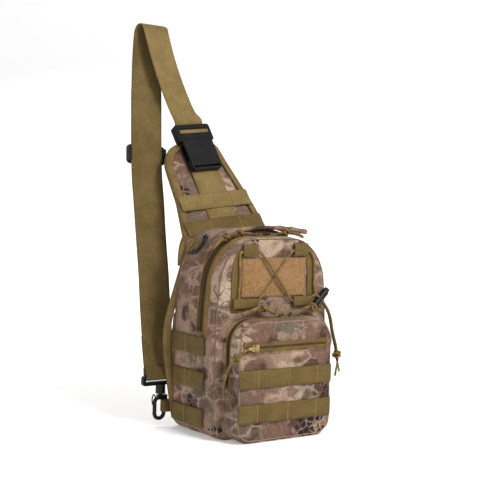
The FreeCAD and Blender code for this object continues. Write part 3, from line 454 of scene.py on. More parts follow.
def rounded(corners, count, closed=True):
    """An outline of corners (x, z) or (x, z, radius), evenly sampled."""
    line = []
    total = len(corners)
    for i, corner in enumerate(corners):
        here = np.array(corner[:2], float)
        end = not closed and i in (0, total - 1)
        if len(corner) == 2 or end:
            line.append(here)
            continue
        back = np.array(corners[i - 1][:2], float) - here
        onward = np.array(corners[(i + 1) % total][:2], float) - here
        back /= np.linalg.norm(back)
        onward /= np.linalg.norm(onward)
        half = math.acos(max(-1, min(1, float(back @ onward)))) / 2
        reach = corner[2] / math.tan(half)
        middle = here + (back + onward) / np.linalg.norm(back + onward) * corner[2] / math.sin(half)
        first, last = here + back * reach - middle, here + onward * reach - middle
        turn = math.atan2(first[0] * last[1] - first[1] * last[0], float(first @ last))
        for step in range(13):
            angle = turn * step / 12
            line.append(middle + np.array([first[0] * math.cos(angle) - first[1] * math.sin(angle),
                                           first[0] * math.sin(angle) + first[1] * math.cos(angle)]))
    return resampled(line, count, closed)


# a compartment's arched outline: half its width, its top, its shoulders' radius, its foot, its foot's radius
Family = namedtuple("Family", "half top bend low turn")
MAIN, REAR, POUCH = Family(93, 270, 58, 0, 22), Family(93, 278, 58, 0, 22), Family(79, 164, 34, 0.5, 24)


def drawn_in(line, family):
    """The main compartment's cloth leans in towards its shoulders; the pouch's doesn't."""
    lean_from, lean_over, lean = 145, 115, 0.11
    if family is not POUCH:
        share = np.clip((line[:, 1] - lean_from) / lean_over, 0, 1)
        line[:, 0] *= 1 - lean * share ** 1.4
    return line


def arch(family, inset, count=176):
    """A compartment's closed outline, at an inset."""
    half, top, bend, low, turn = family
    half, top, bend, low, turn = half - inset, top - inset, bend - inset, low + inset, turn - inset
    corners = [(half, low, turn), (half, top, bend), (-half, top, bend), (-half, low, turn)]
    return drawn_in(rounded(corners, count), family)


def hoop(family, inset, low, count=150):
    """The outline above a height, open below, from right to left."""
    half, top, bend = (size - inset for size in family[:3])
    corners = [(half, low), (half, top, bend), (-half, top, bend), (-half, low)]
    return drawn_in(rounded(corners, count, False), family)


def cup(family, inset, high, count=110):
    """The outline below a height, open above, from right to left."""
    half, low, turn = family.half - inset, family.low + inset, family.turn - inset
    return rounded([(half, high), (half, low, turn), (-half, low, turn), (-half, high)], count, False)


def at_depth(line, y):
    """An (x, z) line stood up at a depth."""
    return np.column_stack([line[:, 0], np.full(len(line), float(y)), line[:, 1]])


def loft(name, loops, material, closed=True, cap=None):
    """A surface through loops of equal length; cap is a point that closes the last loop."""
    count = len(loops[0])
    points = np.vstack(loops)
    faces = skin(len(loops), count, wrap_ring=closed)
    if cap is not None:
        points = np.vstack([points, [cap]])
        last = (len(loops) - 1) * count
        faces += [(last + i, last + (i + 1) % count, len(points) - 1) for i in range(count)]
    return make_mesh(name, points, faces, material)


def outwards(thing):
    """Turns the faces to look out."""
    mesh = bmesh.new()
    mesh.from_mesh(thing.data)
    bmesh.ops.recalc_face_normals(mesh, faces=mesh.faces)
    mesh.to_mesh(thing.data)
    mesh.free()
    return thing


def wrinkled(thing, amount, scale, seed=0.0, keep=None):
    """Moves points along their normals by smooth noise; keep weights the move by place."""
    data = thing.data
    places = np.empty(len(data.vertices) * 3)
    data.vertices.foreach_get("co", places)
    places = places.reshape(-1, 3)
    normals = np.array([v.normal for v in data.vertices])
    for i, (spot, normal) in enumerate(zip(places.copy(), normals)):
        push = noise.fractal(Vector(spot * 1000 / scale) + Vector((seed, 0, 0)), 1.0, 2.0, 3) * amount
        if keep is not None:
            push *= keep(*(spot * 1000))
        places[i] = spot + normal * push * MM
    places[:, 2] = np.maximum(places[:, 2], 0)  # nothing goes through the floor
    data.vertices.foreach_set("co", places.ravel())
    data.update()
    return thing


def ribbon(name, centres, across, width, thick, material, bulge=0.0, columns=6):
    """A woven strip along centres; across points over its width, and its front looks along
    across x direction of travel."""
    centres = np.asarray(centres, float)
    count = len(centres)
    across = np.broadcast_to(np.asarray(across, float), centres.shape)
    normal = np.cross(across, np.gradient(centres, axis=0))
    normal /= np.linalg.norm(normal, axis=1)[:, None]
    far = lengths(centres)
    spots = np.linspace(-1, 1, columns + 1)
    points, uvs = [], []
    ring = 2 * (columns + 1)
    for i in range(count):
        for face in (1, -1):
            for s in spots if face > 0 else spots[::-1]:
                half = thick / 2 * (1 - 0.55 * abs(s) ** 6)
                lift = normal[i] * (face * half + bulge * (1 - s * s))
                points.append(centres[i] + across[i] * s * width / 2 + lift)
                uvs.append((far[i], s * width / 2 + (0 if face > 0 else 3 * width)))
    return outwards(make_mesh(name, points, skin(count, ring) + ends_of(count, ring), material, uvs))


def tube(name, centres, radius, material, sides=8, closed=False, flat=1.0):
    """A round tube along centres; flat squeezes it upright."""
    centres = np.asarray(centres, float)
    count = len(centres)
    travel = (np.roll(centres, -1, 0) - np.roll(centres, 1, 0)) if closed else np.gradient(centres, axis=0)
    travel /= np.linalg.norm(travel, axis=1)[:, None]
    side = np.cross(travel[0], (0.3, 0.2, 1.0))
    points, uvs = [], []
    radii = np.broadcast_to(np.asarray(radius, float), (count,))
    far = lengths(centres)
    for i in range(count):
        side = side - travel[i] * (side @ travel[i])
        side /= np.linalg.norm(side)
        other = np.cross(travel[i], side)
        for k in range(sides):
            angle = 2 * math.pi * k / sides
            push = side * math.cos(angle) + other * math.sin(angle)
            points.append(centres[i] + push * radii[i] * np.array([1, 1, flat]))
            uvs.append((far[i], k * 2 * math.pi * radii[i] / sides))
    faces = skin(count, sides, closed) + ([] if closed else ends_of(count, sides))
    return outwards(make_mesh(name, points, faces, material, uvs))


def curved(points, count):
    """A smooth line through points."""
    points = np.asarray(points, float)
    padded = np.vstack([2 * points[0] - points[1], points, 2 * points[-1] - points[-2]])
    line = []
    each = max(2, count // (len(points) - 1))
    for i in range(1, len(padded) - 2):
        a, b, c, d = padded[i - 1:i + 3]
        for step in range(each):
            t = step / each
            line.append(0.5 * (2 * b + (c - a) * t + (2 * a - 5 * b + 4 * c - d) * t ** 2
                               + (3 * b - a - 3 * c + d) * t ** 3))
    line.append(points[-1])
    return np.array(line)


def stitches(name, lines, material, long=2.4, gap=1.3, wide=0.42, high=0.35):
    """Rows of single stitches; each line is (points, outward normal)."""
    points, faces = [], []
    for line, normal in lines:
        line = np.asarray(line, float)
        far = lengths(line)
        start = 0.4
        while start + long < far[-1]:
            ends = [along_line(line, far, d) for d in (start, start + long / 2, start + long)]
            along = (ends[2] - ends[0]) / np.linalg.norm(ends[2] - ends[0])
            out = np.asarray(normal(ends[1]) if callable(normal) else normal, float)
            out = out - along * (out @ along)
            out /= np.linalg.norm(out)
            side = np.cross(along, out) * wide
            base = len(points)
            points += [ends[0] - out * 0.2, ends[1] - side, ends[1] + side, ends[2] - out * 0.2,
                       ends[1] + out * high]
            faces += [(base, base + 1, base + 4), (base + 4, base + 1, base + 3),
                      (base + 2, base, base + 4), (base + 2, base + 4, base + 3)]
            start += long + gap
    return make_mesh(name, points, faces, material)


def puffed(thing, voxel, cap):
    """Blows a closed cloth form up a little with a cloth simulation, and smooths it."""
    pressure, last_frame = 4.0, 20
    cells = thing.modifiers.new("cells", "REMESH")
    cells.mode = "VOXEL"
    cells.voxel_size = voxel * MM
    baked(thing)
    before = np.array([v.co for v in thing.data.vertices])
    cloth = thing.modifiers.new("air", "CLOTH")
    cloth.settings.quality = 4
    cloth.settings.use_pressure = True
    cloth.settings.uniform_pressure_force = pressure
    cloth.settings.effector_weights.gravity = 0
    cloth.point_cache.frame_start = 1
    cloth.point_cache.frame_end = last_frame
    for step in range(1, last_frame + 1):
        bpy.context.scene.frame_set(step)
    graph = bpy.context.evaluated_depsgraph_get()
    after = np.array([v.co for v in thing.evaluated_get(graph).data.vertices])
    move = after - before
    size = np.linalg.norm(move, axis=1)[:, None]
    move *= np.minimum(1, cap * MM / np.maximum(size, 1e-9))
    thing.modifiers.clear()
    thing.data.vertices.foreach_set("co", (before + move).ravel())
    bpy.context.scene.frame_set(1)
    finer = thing.modifiers.new("finer", "SUBSURF")
    finer.levels = finer.render_levels = 1
    baked(thing)
    thing.data.polygons.foreach_set("use_smooth", [True] * len(thing.data.polygons))
    return thing


def place(thing, body, slot, *nodes):
    """Lets a piece ride on a body and stand for CAD nodes, whose solids it hides; slot is not used."""
    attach(thing, body)
    if nodes:
        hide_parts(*nodes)
    return thing


def bend(thing, hinge, slot, *nodes):
    """Bakes a piece's placement into its mesh and hides the CAD nodes it stands for; hinge and slot are not
    used.
    """
    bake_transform(thing)
    if nodes:
        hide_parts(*nodes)
    return thing


# ------------------------------------------------------------------ cords: free ends first
LOCK = np.array([75.5, -54.2, 186.0])
LOCK_OUT = 5.6 * math.sqrt(0.5)
STRAND = 1.8
LACE_Y = -49.9
LACE_THICK, TAIL_THICK, PULL_THICK = 3.5, 3.0, 2.5
LACING = [
    (LOCK[0] + LOCK_OUT, LOCK[1] + STRAND, LOCK[2] - LOCK_OUT), (LOCK[0] - 6, LOCK[1] + STRAND, LOCK[2] + 6),
    (67, LACE_Y, 206), (68, LACE_Y, 224), (66, LACE_Y, 242), (61, LACE_Y, 251.5), (55.5, LACE_Y, 254),
    (33, LACE_Y, 254.4), (26, LACE_Y, 252), (-26, LACE_Y, 186), (-33, LACE_Y, 183.2), (-56, LACE_Y, 182.9),
    (-60, LACE_Y, 187), (-59, LACE_Y, 199), (-57.5, LACE_Y, 220), (-59, LACE_Y, 240), (-59.5, LACE_Y, 249),
    (-55.5, LACE_Y, 253.6), (-33, LACE_Y, 254.2), (-26, LACE_Y, 252), (-17, LACE_Y - 3.4, 241),
    (17, LACE_Y - 3.4, 197.5), (26, LACE_Y, 186.2), (33, LACE_Y, 183.2), (54, LACE_Y, 183),
    (59.5, LACE_Y - 0.6, 186), (64.5, LOCK[1] + 0.9, 190.5), (LOCK[0] - 6.9, LOCK[1] - STRAND, LOCK[2] + 6.9),
    (LOCK[0] + LOCK_OUT, LOCK[1] - STRAND, LOCK[2] - LOCK_OUT),
]
TAIL_START = (LOCK[0] + 4, LOCK[2] - 4)
TAIL = [(4.2, -4.2), (9, -10.5), (14, -19), (17.5, -31), (20.5, -45), (25, -58), (29, -71), (31, -83)]
TAIL_ENDS = {"front": [(34.5, -92), (37, -102)], "rear": [(29, -94), (26.5, -107)]}


def cord_curve(name, points, wide):
    """A smooth cord whose control points are given."""
    data = bpy.data.curves.new(name, "CURVE")
    data.dimensions = "3D"
    data.bevel_depth = wide / 2 * MM
    data.bevel_resolution = 3
    data.resolution_u = 8
    data.use_fill_caps = True
    data.materials.append(CORD)
    line = data.splines.new("NURBS")
    line.points.add(len(points) - 1)
    for spot, point in zip(line.points, points):
        spot.co = (*(float(c) * MM for c in point), 1)
    line.order_u = 3
    line.use_endpoint_u = True
    thing = bpy.data.objects.new(name, data)
    bpy.context.collection.objects.link(thing)
    return thing


def knot(name, centre, size, direction, strand=1.35, turns=3):
    """A small tied knot: one strand wound through itself."""
    along = Vector(direction).normalized()
    frame_of = along.to_track_quat("Z", "Y").to_matrix()
    line = []
    for step in range(72):
        t = 2 * math.pi * step / 72
        reach = 1 + 0.42 * math.cos(turns * t)
        spot = Vector((reach * math.cos(2 * t), reach * math.sin(2 * t), 0.85 * math.sin(turns * t)))
        line.append(np.array(centre) + np.array(frame_of @ (spot * size / 2.4)))
    return tube(name, line, strand, CORD, 7, closed=True)


lacing = place(cord_curve("lacing", LACING, LACE_THICK), "main_flap", "cord", "bungee_cord")
for side_name, side in (("front", 1), ("rear", -1)):
    y = LOCK[1] + side * STRAND
    start = (LOCK[0] + LOCK_OUT + 0.1, y, LOCK[2] - LOCK_OUT - 0.1)
    route = [start] + [(TAIL_START[0] + a, y, TAIL_START[1] + b) for a, b in TAIL + TAIL_ENDS[side_name]]
    place(cord_curve(f"lace_tail_{side_name}", route, TAIL_THICK), "main_flap", "cord",
                             f"bungee_tail_{side_name}")
KNOT_AT = (TAIL_START[0] + TAIL[-2][0] + 1, LOCK[1], TAIL_START[1] + TAIL[-2][1] - 6)
diamond = place(knot("lace_knot", KNOT_AT, 9.5, (-0.2, 0, 1), 1.7), "main_flap", "cord", "bungee_knot")

# each pull cord: x of its slider, its zipper, which way it lies, its points as (along, sideways, outwards),
# its length, and the places of its knots as shares of its length
PULLS = {
    "main_left": (2, "main", -1, [(22, 1, 5.6), (32, 2, 5.2), (42, 3, 4.6), (52, 4, 2.8), (60, 5, 0.2),
                                  (68, 6, -3.8), (75, 7, -8.6), (81, 7.5, -14.2)], 0.0731, (0.62, 0.30)),
    "main_right": (20, "main", 1, [(20, -1, 5.6), (29, -2, 5.5), (38, -3, 4.6), (47, -4, 3), (55, -5, -0.6)],
                   0.0427, (0.34,)),
    "pouch_left": (11, "pouch", -1, [(21, 1, 8), (31, 1, 12), (41, 1, 13.5), (52, 1, 11), (63, 1, 8),
                                     (70, 1, 6.5)], 0.0587, (0.40,)),
    "pouch_right": (25, "pouch", 1, [(19, -1, 9), (27, -1, 12), (35, -1, 11), (43, -1, 8), (51, -1, 5.5)],
                    0.0402, (0.62,)),
    "pocket": (-52, "pocket", -1, [(19, 2, 5.4), (26, 6, 5), (31.6, 13, 1), (32.6, 20, -7), (32.6, 30, -15),
                                   (32.4, 41, -21), (32.4, 52, -25)], 0.0709, (0.42,)),
}
LEVELS = {"main": (MAIN_ZIP_Y, 268.6), "pouch": (POUCH_ZIP_Y, 162.6), "pocket": (-78.6, POCKET_Z)}


def pull_point(zipper, x, pull, spot):
    """A point given along the pull, sideways and outwards, in the bag's frame."""
    depth, level = LEVELS[zipper]
    along, aside, out = spot
    if zipper == "pocket":
        return (x + pull * along, depth - out, level + pull * aside)
    return (x + pull * along, depth + pull * aside, level + out)


for label, (x, zipper, pull, spots, long, knots) in PULLS.items():
    points = [pull_point(zipper, x, pull, spot) for spot in [(13.5, 0, 5)] + spots]
    main_strand = place(cord_curve(f"{label}_pull", points, PULL_THICK), f"{label}_pull", "cord",
                        f"{label}_pull_cord")
    line = curved(points, 60)
    shift = np.array((0, 0, 2.0) if zipper != "pocket" else (1.6, -1.6, 0.6))
    fade = np.sin(np.linspace(0.05, 1, len(line)) * math.pi * 0.75)[:, None]
    second = place(tube(f"{label}_pull_strand", line + shift * fade, 1.6, CORD, 8), f"{label}_pull", "cord")
    for index, share in enumerate(knots):
        at = int(share * (len(line) - 1))
        way = line[min(at + 1, len(line) - 1)] - line[at - 1]
        tied = knot(f"{label}_knot_{index}", line[at] + shift * 0.5, 8.6, way, 1.75)
        place(tied, f"{label}_pull", "cord")


# ------------------------------------------------------------------ main compartment
def family_loop(family, y, inset):
    """One closed loop of a compartment's wall."""
    return at_depth(arch(family, inset), y)


def front_shell(name, family, rows, face_y, corner,
                shares=(0.96, 0.90, 0.82, 0.72, 0.60, 0.47, 0.33, 0.18, 0.07)):
    """A wall and a front panel in one cloth: loops down the wall, then shrinking loops over the panel."""
    loops = [family_loop(family, y, inset) for y, inset in rows]
    centre = np.array([0, (family.top + family.low) / 2])
    edge = arch(family, corner)
    for share in shares:
        inner = centre + (edge - centre) * share
        depth = [face_y(*point) for point in inner]
        loops.append(np.column_stack([inner[:, 0], depth, inner[:, 1]]))
    return loft(name, loops, CAMO, True, (centre[0], face_y(*centre), centre[1]))


def near_seams(low, high):
    """Weights that keep cloth still at two depths and let it move between them."""
    return lambda x, y, z: max(0.0, math.sin(math.pi * min(1, max(0, (y - low) / (high - low))))) ** 0.5


shell = front_shell("main_front", MAIN, [(-17.8, 0.6), (-19, 0.1), (-24, -0.5), (-31, -0.7), (-38, -0.4),
                                         (-42, 0.1), (-44.4, 0.9), (-45.6, 2.2), (MAIN_FACE_Y, 4.2)],
                    lambda x, z: MAIN_FACE_Y, 4.2)
wrinkled(outwards(shell), 0.9, 26, 3.1, near_seams(MAIN_FACE_Y, -17))
bend(thicken(shell, 1.5), "main", "camo", "lower_shell", "flap_shell")
lower = loft("main_side", [at_depth(cup(MAIN, inset, 141.2), y) for y, inset in
                           ((2.6, 0.2), (-2, -0.3), (-8, -0.4), (-14, -0.2), (-19, 0.5))], CAMO, False)
place(thicken(outwards(lower), 1.5), "bag", "camo")

gusset_rows = [(MAIN, 3.2, 2.2), (MAIN, 2.1, 1.2), (REAR, 1.7, 1.4), (REAR, 2.2, 0.4), (REAR, 4, -0.2),
               (REAR, 9, -0.6), (REAR, 16, -0.9), (REAR, 24, -1.0), (REAR, 33, -0.9), (REAR, 42, -0.7),
               (REAR, 50, -0.3), (REAR, 54, 0.4), (REAR, 55.8, 2.0)]
loops = [family_loop(family, y, inset) for family, y, inset in gusset_rows]
heart = np.array([0, 139.0])
for share in (0.9, 0.6, 0.3, 0.1):
    inner = heart + (arch(REAR, 2.0) - heart) * share
    loops.append(at_depth(inner, 55.8))
gusset = loft("rear_cloth", loops, CAMO, True, (0, 55.8, 139))
wrinkled(outwards(gusset), 1.2, 24, 8.2, near_seams(2, 55))
place(gusset, "bag", "camo", "rear_gusset")
inner_wall = loft("rear_lining", [family_loop(MAIN, y, 3.4) for y in (2.6, 20, 40, 53.6)], LINING)
place(inner_wall, "bag", "camo")


def out_of(family):
    """Which way the wall looks at a point."""
    middle = np.array([0, 0, (family.top + family.low) / 2])
    return lambda p: (p - middle) * np.array([1, 0, 1])


place(tube("rear_piping", family_loop(REAR, 55.2, 0.2), 1.0, DULL_PIPING, 6, closed=True), "bag", "camo")
bend(tube("front_piping", family_loop(MAIN, -45.2, 0.9), 0.9, DULL_PIPING, 6, closed=True), "main", "camo")
rows = [(family_loop(REAR, y, -0.6), out_of(REAR)) for y in (5.4, 51.6)]
place(stitches("rear_stitching", rows, THREAD), "bag", "binding")

# the rain lip over the zipper: a flattened tunnel of cloth along the top that ends open on the right
lip_line = [(-58, 4, 264), (-40, 4, 274.5), (-15, 3, 279.5), (12, 2, 281.5), (36, 0, 281.5),
            (56, -3, 279.5), (71, -6, 277.5), (81, -8, 276.5)]
lip_line = curved(lip_line, 84)
lip_size = np.interp(np.linspace(0, 1, len(lip_line)), [0, 0.2, 0.75, 1], [1.2, 4.4, 6.0, 5.4])
lip = tube("rain_lip", lip_line, lip_size, CAMO, 22, flat=0.62)
wrinkled(lip, 1.3, 11, 5.5)
place(lip, "bag", "camo")
# a dark tube just inside the lip's open end: painted shade in its mouth
mouth = tube("rain_lip_mouth", lip_line[-3:] + np.array([0.9, 0, 0]), 4.4, SHADE, 16, flat=0.55)
place(mouth, "bag", "camo")
hem = tube("rain_lip_hem", [lip_line[-1] + np.array([0.4, 5.3 * math.cos(a), 3.2 * math.sin(a)])
                            for a in np.linspace(0, 2 * math.pi, 24, endpoint=False)], 0.7, CAMO, 6, True)
place(hem, "bag", "camo")


# ------------------------------------------------------------------ zippers
def chain(name, line, out, shift, wide=1.9, pitch=2.1, high=1.0):
    """One side of a coil zipper: a row of rounded teeth across the line."""
    line = np.asarray(line, float)
    far = lengths(line)
    points, faces = [], []
    for start in np.arange(0.5 + max(0, shift) * 0.5 * pitch, far[-1] - pitch, pitch):
        here, there = along_line(line, far, start), along_line(line, far, start + 1.3)
        along = (there - here) / np.linalg.norm(there - here)
        normal = np.asarray(out(here), float)
        normal = normal - along * (normal @ along)
        normal /= np.linalg.norm(normal)
        side = np.cross(along, normal) * wide
        middle = (here + there) / 2
        base = len(points)
        for step, height in ((-0.1, 0.25), (0.25, 0.85), (0.75, 1.0), (1.0, 0.45)):
            spot = middle - side * step * shift
            points += [spot - along * 0.62, spot - along * 0.42 + normal * high * height,
                       spot + along * 0.42 + normal * high * height, spot + along * 0.62]
        faces += skin(4, 4, wrap_ring=False, base=base)
        faces += [(base, base + 3, base + 2, base + 1), (base + 12, base + 13, base + 14, base + 15)]
    return make_mesh(name, points, faces, COIL)


def zipper(hinge, family, line_y, front_y, rear_y, low):
    """Both tapes and both rows of teeth of an arched zipper."""
    name = f"{hinge}_zip"
    path = hoop(family, 1.7, low)
    for part, near, far, shift in (("rear", line_y + 0.5, rear_y, -1), ("front", line_y - 0.5, front_y, 1)):
        mid = (near + far) / 2
        tape = ribbon(f"{name}_tape_{part}", at_depth(path, mid), (0, 1, 0), abs(far - near), 0.9, ZIP_TAPE)
        sewn = stitches(f"{name}_tape_stitches_{part}", [(at_depth(hoop(family, 1.1, low), (mid + far) / 2),
                                                         out_of(family))], THREAD, 2.0, 1.2, 0.3, 0.25)
        teeth = chain(f"{name}_teeth_{part}", at_depth(hoop(family, 1.0, low), line_y), out_of(family), shift)
        edge_at = at_depth(hoop(family, 0.8, low), far + 1.7 * shift)
        edge = ribbon(f"{name}_tape_edge_{part}", edge_at, (0, 1, 0), 3.2, 0.9, ORANGE_TAPE, 0.25)
        for piece, stands in ((tape, [f"{name}_{part}"]), (sewn, []), (teeth, []), (edge, [])):
            if part == "rear":
                place(piece, "bag", "zip_tape", *stands)
            else:
                bend(piece, hinge, "zip_tape", *stands)


zipper("main", MAIN, MAIN_ZIP_Y, -18.4, 2.4, 141.2)
zipper("pouch", POUCH, POUCH_ZIP_Y, -62.4, -49.6, 71.2)
for name, family, y, low, wide in (("main", MAIN, MAIN_ZIP_Y, 141, 17),
                                   ("pouch", POUCH, POUCH_ZIP_Y, 71, 11)):
    for side_name, side in SIDES:
        centre = np.array([side * (family.half - 0.4), y, low])
        stop = ribbon(f"{name}_zip_stop_{side_name}", [centre + (0, 0, up) for up in (-4, 0, 4)],
                      (0, side, 0), wide, 1.4, WEBBING)
        place(stop, "bag", "webbing")

edge_path = hoop(MAIN, -0.7, 143)
edge_tape = ribbon("flap_edge_tape", at_depth(edge_path, -23.4), (0, 1, 0), 10.4, 1.1, ORANGE_TAPE, 0.35)
bend(edge_tape, "main", "binding", "flap_binding")
rows = [(at_depth(hoop(MAIN, -1.3, 144), y), out_of(MAIN)) for y in (-19.6, -27.2)]
bend(stitches("flap_edge_stitches", rows, THREAD, 2.2, 1.1), "main", "binding")


# ------------------------------------------------------------------ webbing rows on the sides
def tacked(line, places, rise, sharp=9.0):
    """How far a strip stands off its cloth: nothing at its tacks, more between them."""
    line = np.asarray(line, float)
    off = np.full(len(line), float(rise))
    for at in places:
        off *= 1 - np.exp(-((line - at) / sharp) ** 2)
    return off


def tack_bar(name, foot, head, out, thread=TACK):
    """A dense vertical row of sewing that holds a strip down."""
    foot, head, out = (np.asarray(v, float) for v in (foot, head, out))
    steps = max(3, int(np.linalg.norm(head - foot) / 1.1))
    across = np.cross(head - foot, out)
    across /= np.linalg.norm(across)
    line = [foot + (head - foot) * k / steps + across * (0.8 if k % 2 else -0.8) for k in range(steps + 1)]
    return tube(name, line, 0.55, thread, 5)


for side_name, side in SIDES:
    for index, low in enumerate(SIDE_ROWS_LOW):
        depth = np.linspace(-24, 54.5, 46)
        stand = tacked(depth, (-23, 22, 54), 0.7)
        centres = np.column_stack([side * (94.9 + stand), depth, np.full(46, low + ROW_WIDTH / 2)])
        strip = ribbon(f"side_row_{side_name}_{index}", centres, (0, 0, side), ROW_WIDTH, 1.5, WEBBING)
        place(strip, "bag", "webbing", *(["side_rows"] if side < 0 and index == 0 else []))
        for at in (-22.4, 22, 53.2):
            bar = tack_bar(f"side_tack_{side_name}_{index}_{int(at)}", (side * 95.9, at, low + 1.4),
                           (side * 95.9, at, low + 23.6), (side, 0, 0), TACK if at == 22 else DARK_THREAD)
            place(bar, "bag", "binding")


# ------------------------------------------------------------------ back panel
def panel_outline(inset, count=180):
    """The back panel's outline at an inset."""
    side = [(88 - inset, 1 + inset, 22 - inset), (111 - inset, 132, 150), (74 - inset, 250, 40),
            (74 - inset, 258)]
    other = [(-corner[0], *corner[1:]) for corner in reversed(side)]
    return rounded(side + other, count)


def pillow(name, outline, heart, front, rear, place_of, material, cap, voxel=5.0):
    """A padded form from its outline, swollen by a cloth simulation."""
    loops = []
    for share, depth in ((0.05, front), (0.5, front), (0.9, front), (1.0, front + 0.25 * (rear - front)),
                         (1.0, front + 0.75 * (rear - front)), (0.9, rear), (0.5, rear), (0.05, rear)):
        line = heart + (outline - heart) * share
        loops.append(np.array([place_of(x, depth, z) for x, z in line]))
    form = loft(name, loops, material)
    form.data.materials.clear()
    mesh = bmesh.new()
    mesh.from_mesh(form.data)
    bmesh.ops.holes_fill(mesh, edges=mesh.edges, sides=0)
    bmesh.ops.recalc_face_normals(mesh, faces=mesh.faces)
    mesh.to_mesh(form.data)
    mesh.free()
    puffed(form, voxel, cap)
    form.data.materials.clear()
    form.data.materials.append(material)
    return form


def flat_place(x, y, z):
    """The bag's own frame."""
    return (x, y, z)


cushion = pillow("back_cushion", panel_outline(6.5), np.array([0, 134.0]), 57.4, 65.0, flat_place,
                 AIR_MESH, 3.0)
place(cushion, "bag", "mesh", "back_panel")


def edge_band(name, outline_of, place_of, front, rear, wide, node):
    """A tape folded over a pad's edge: it runs from the front face round the edge to the rear face."""
    middle = (front + rear) / 2
    section = [(wide, front - 0.3), (wide * 0.5, front - 0.7), (0.6, front - 0.2), (-0.5, middle),
               (0.6, rear + 0.2), (wide * 0.5, rear + 0.7), (wide, rear + 0.3), (wide + 0.4, middle)]
    loops = [np.array([place_of(x, depth, z) for x, z in outline_of(inset)]) for inset, depth in section]
    loops.append(loops[0])
    count = len(loops[0])
    uvs = [(far, row * wide * 0.5) for row in range(len(loops)) for far in lengths(loops[0])]
    band = make_mesh(name, np.vstack(loops), skin(len(loops), count), BINDING, uvs)
    place(outwards(band), "bag", "binding", node)
    normal = np.array(place_of(0, -1, 0)) - np.array(place_of(0, 0, 0))
    rows = [([place_of(x, depth, z) for x, z in outline_of(wide - 1.6)], out)
            for depth, out in ((front - 0.95, normal), (rear + 0.95, -normal))]
    place(stitches(name + "_stitches", rows, THREAD), "bag", "binding")


edge_band("back_edge", panel_outline, flat_place, 57.2, 65.2, 8, "back_binding")


# ------------------------------------------------------------------ webbing tabs at the panel's foot
for side_name, side in SIDES:
    middle = np.array([side * 97.0, 73.0])
    loop = []
    for angle in np.linspace(-90, 90, 15):
        a = math.radians(angle)
        loop.append((middle[0] + side * 4.2 * math.cos(a), middle[1] + 4.2 * math.sin(a)))
    first = [(side * 70.0, 68.6), (side * 84.0, 68.7)]
    last = [(side * 88.0, 71.6), (side * 82.0, 70.4), (side * 70.0, 70.2)]
    path = first + loop + last
    centres = [(x, y, 28.2) for x, y in path]
    tab = ribbon(f"hook_tab_cloth_{side_name}", resampled(centres, 60), (0, 0, 1), 17.5, 1.4, WEBBING)
    place(tab, "bag", "webbing", f"hook_tab_{side_name}")
    for k, x in enumerate((72, 79)):
        bar = tack_bar(f"hook_tab_tack_{side_name}_{k}", (side * x, 71.2, 20.5), (side * x, 71.2, 36),
                       (0, 1, 0))
        place(bar, "bag", "binding")


# ------------------------------------------------------------------ patch panel
def slab(name, corners, count, front, rear, material, edge=0.9):
    """A soft flat piece with rolled edges."""
    outline = rounded(corners, count)
    centre = outline.mean(axis=0)
    loops = []
    for inset, y in ((edge, rear), (0.1, rear), (0, (rear + front) / 2), (0.25, front + 0.3), (edge, front)):
        reach = np.linalg.norm(outline - centre, axis=1)[:, None]
        loops.append(at_depth(outline - (outline - centre) / reach * inset, y))
    for share in (0.85, 0.6, 0.35, 0.1):
        loops.append(at_depth(centre + (outline - centre) * share * 0.98, front))
    return outwards(loft(name, loops, material, True, (centre[0], front, centre[1])))


pile = slab("loop_patch", [(54, 191, 2.5), (54, 244, 2.5), (-54, 244, 2.5), (-54, 191, 2.5)], 150, -48.2,
            -46.2, PATCH)
wrinkled(pile, 0.25, 4, 2.0)
place(pile, "main_flap", "loop_patch", "patch_panel")
edge = [(52.6, 192.4), (52.6, 242.6), (-52.6, 242.6), (-52.6, 192.4), (52.6, 192.4)]
line = at_depth(resampled(edge, 200), -48.35)
place(stitches("patch_stitches", [(line, (0, -1, 0))], DARK_THREAD), "main_flap", "binding")
for side_name, side in SIDES:
    line = curved([(63.5, 172), (63.5, 195), (63.5, 218), (62, 234), (57, 246), (48, 254), (36, 256.5)], 48)
    centres = np.column_stack([side * line[:, 0], np.full(len(line), -47.2), line[:, 1]])
    travel = np.gradient(centres, axis=0)
    across = np.cross(travel / np.linalg.norm(travel, axis=1)[:, None], (0, 1, 0))
    strip = ribbon(f"patch_strip_{side_name}", centres, across, 12.5, 1.5, WEBBING, 0.2)
    place(strip, "main_flap", "webbing", *(["patch_webbing"] if side < 0 else []))
    rows = [(centres + across * s * 5.0 + np.array([0, -0.9, 0]), (0, -1, 0)) for s in (-1, 1)]
    place(stitches(f"patch_strip_stitches_{side_name}", rows, THREAD), "main_flap", "binding")
    for level, (low, high, lace) in {"low": (176.5, 190, 183), "high": (246, 263, 254)}.items():
        ring = []
        for angle in np.linspace(0, 2 * math.pi, 28, endpoint=False):
            c, s = math.cos(angle), math.sin(angle)
            up = (high - low) / 2 * abs(s) ** 0.7 * (1 if s >= 0 else -1)
            ring.append((-49.7 - 3.0 * abs(c) ** 0.6 * (1 if c >= 0 else -1), (low + high) / 2 + up))
        span = sorted((side * 31.0, side * (54.5 if level == "high" else 68.8)))
        loops = [np.array([(x, y, z) for y, z in ring]) for x in np.linspace(*span, 14)]
        sleeve = loft(f"lace_tab_{side_name}_{level}", loops, WEBBING)
        layer = sleeve.data.uv_layers.new(name="UVMap")
        for corner in sleeve.data.loops:
            co = sleeve.data.vertices[corner.vertex_index].co
            layer.data[corner.index].uv = (co.x * 1000, co.z * 1000 + co.y * 1000)
        thicken(outwards(sleeve), 1.2)
        place(sleeve, "main_flap", "webbing")


# ------------------------------------------------------------------ front pouch
def rise(value, low, high):
    """0 below low, 1 above high, smooth between."""
    t = min(1.0, max(0.0, (value - low) / (high - low)))
    return t * t * (3 - 2 * t)


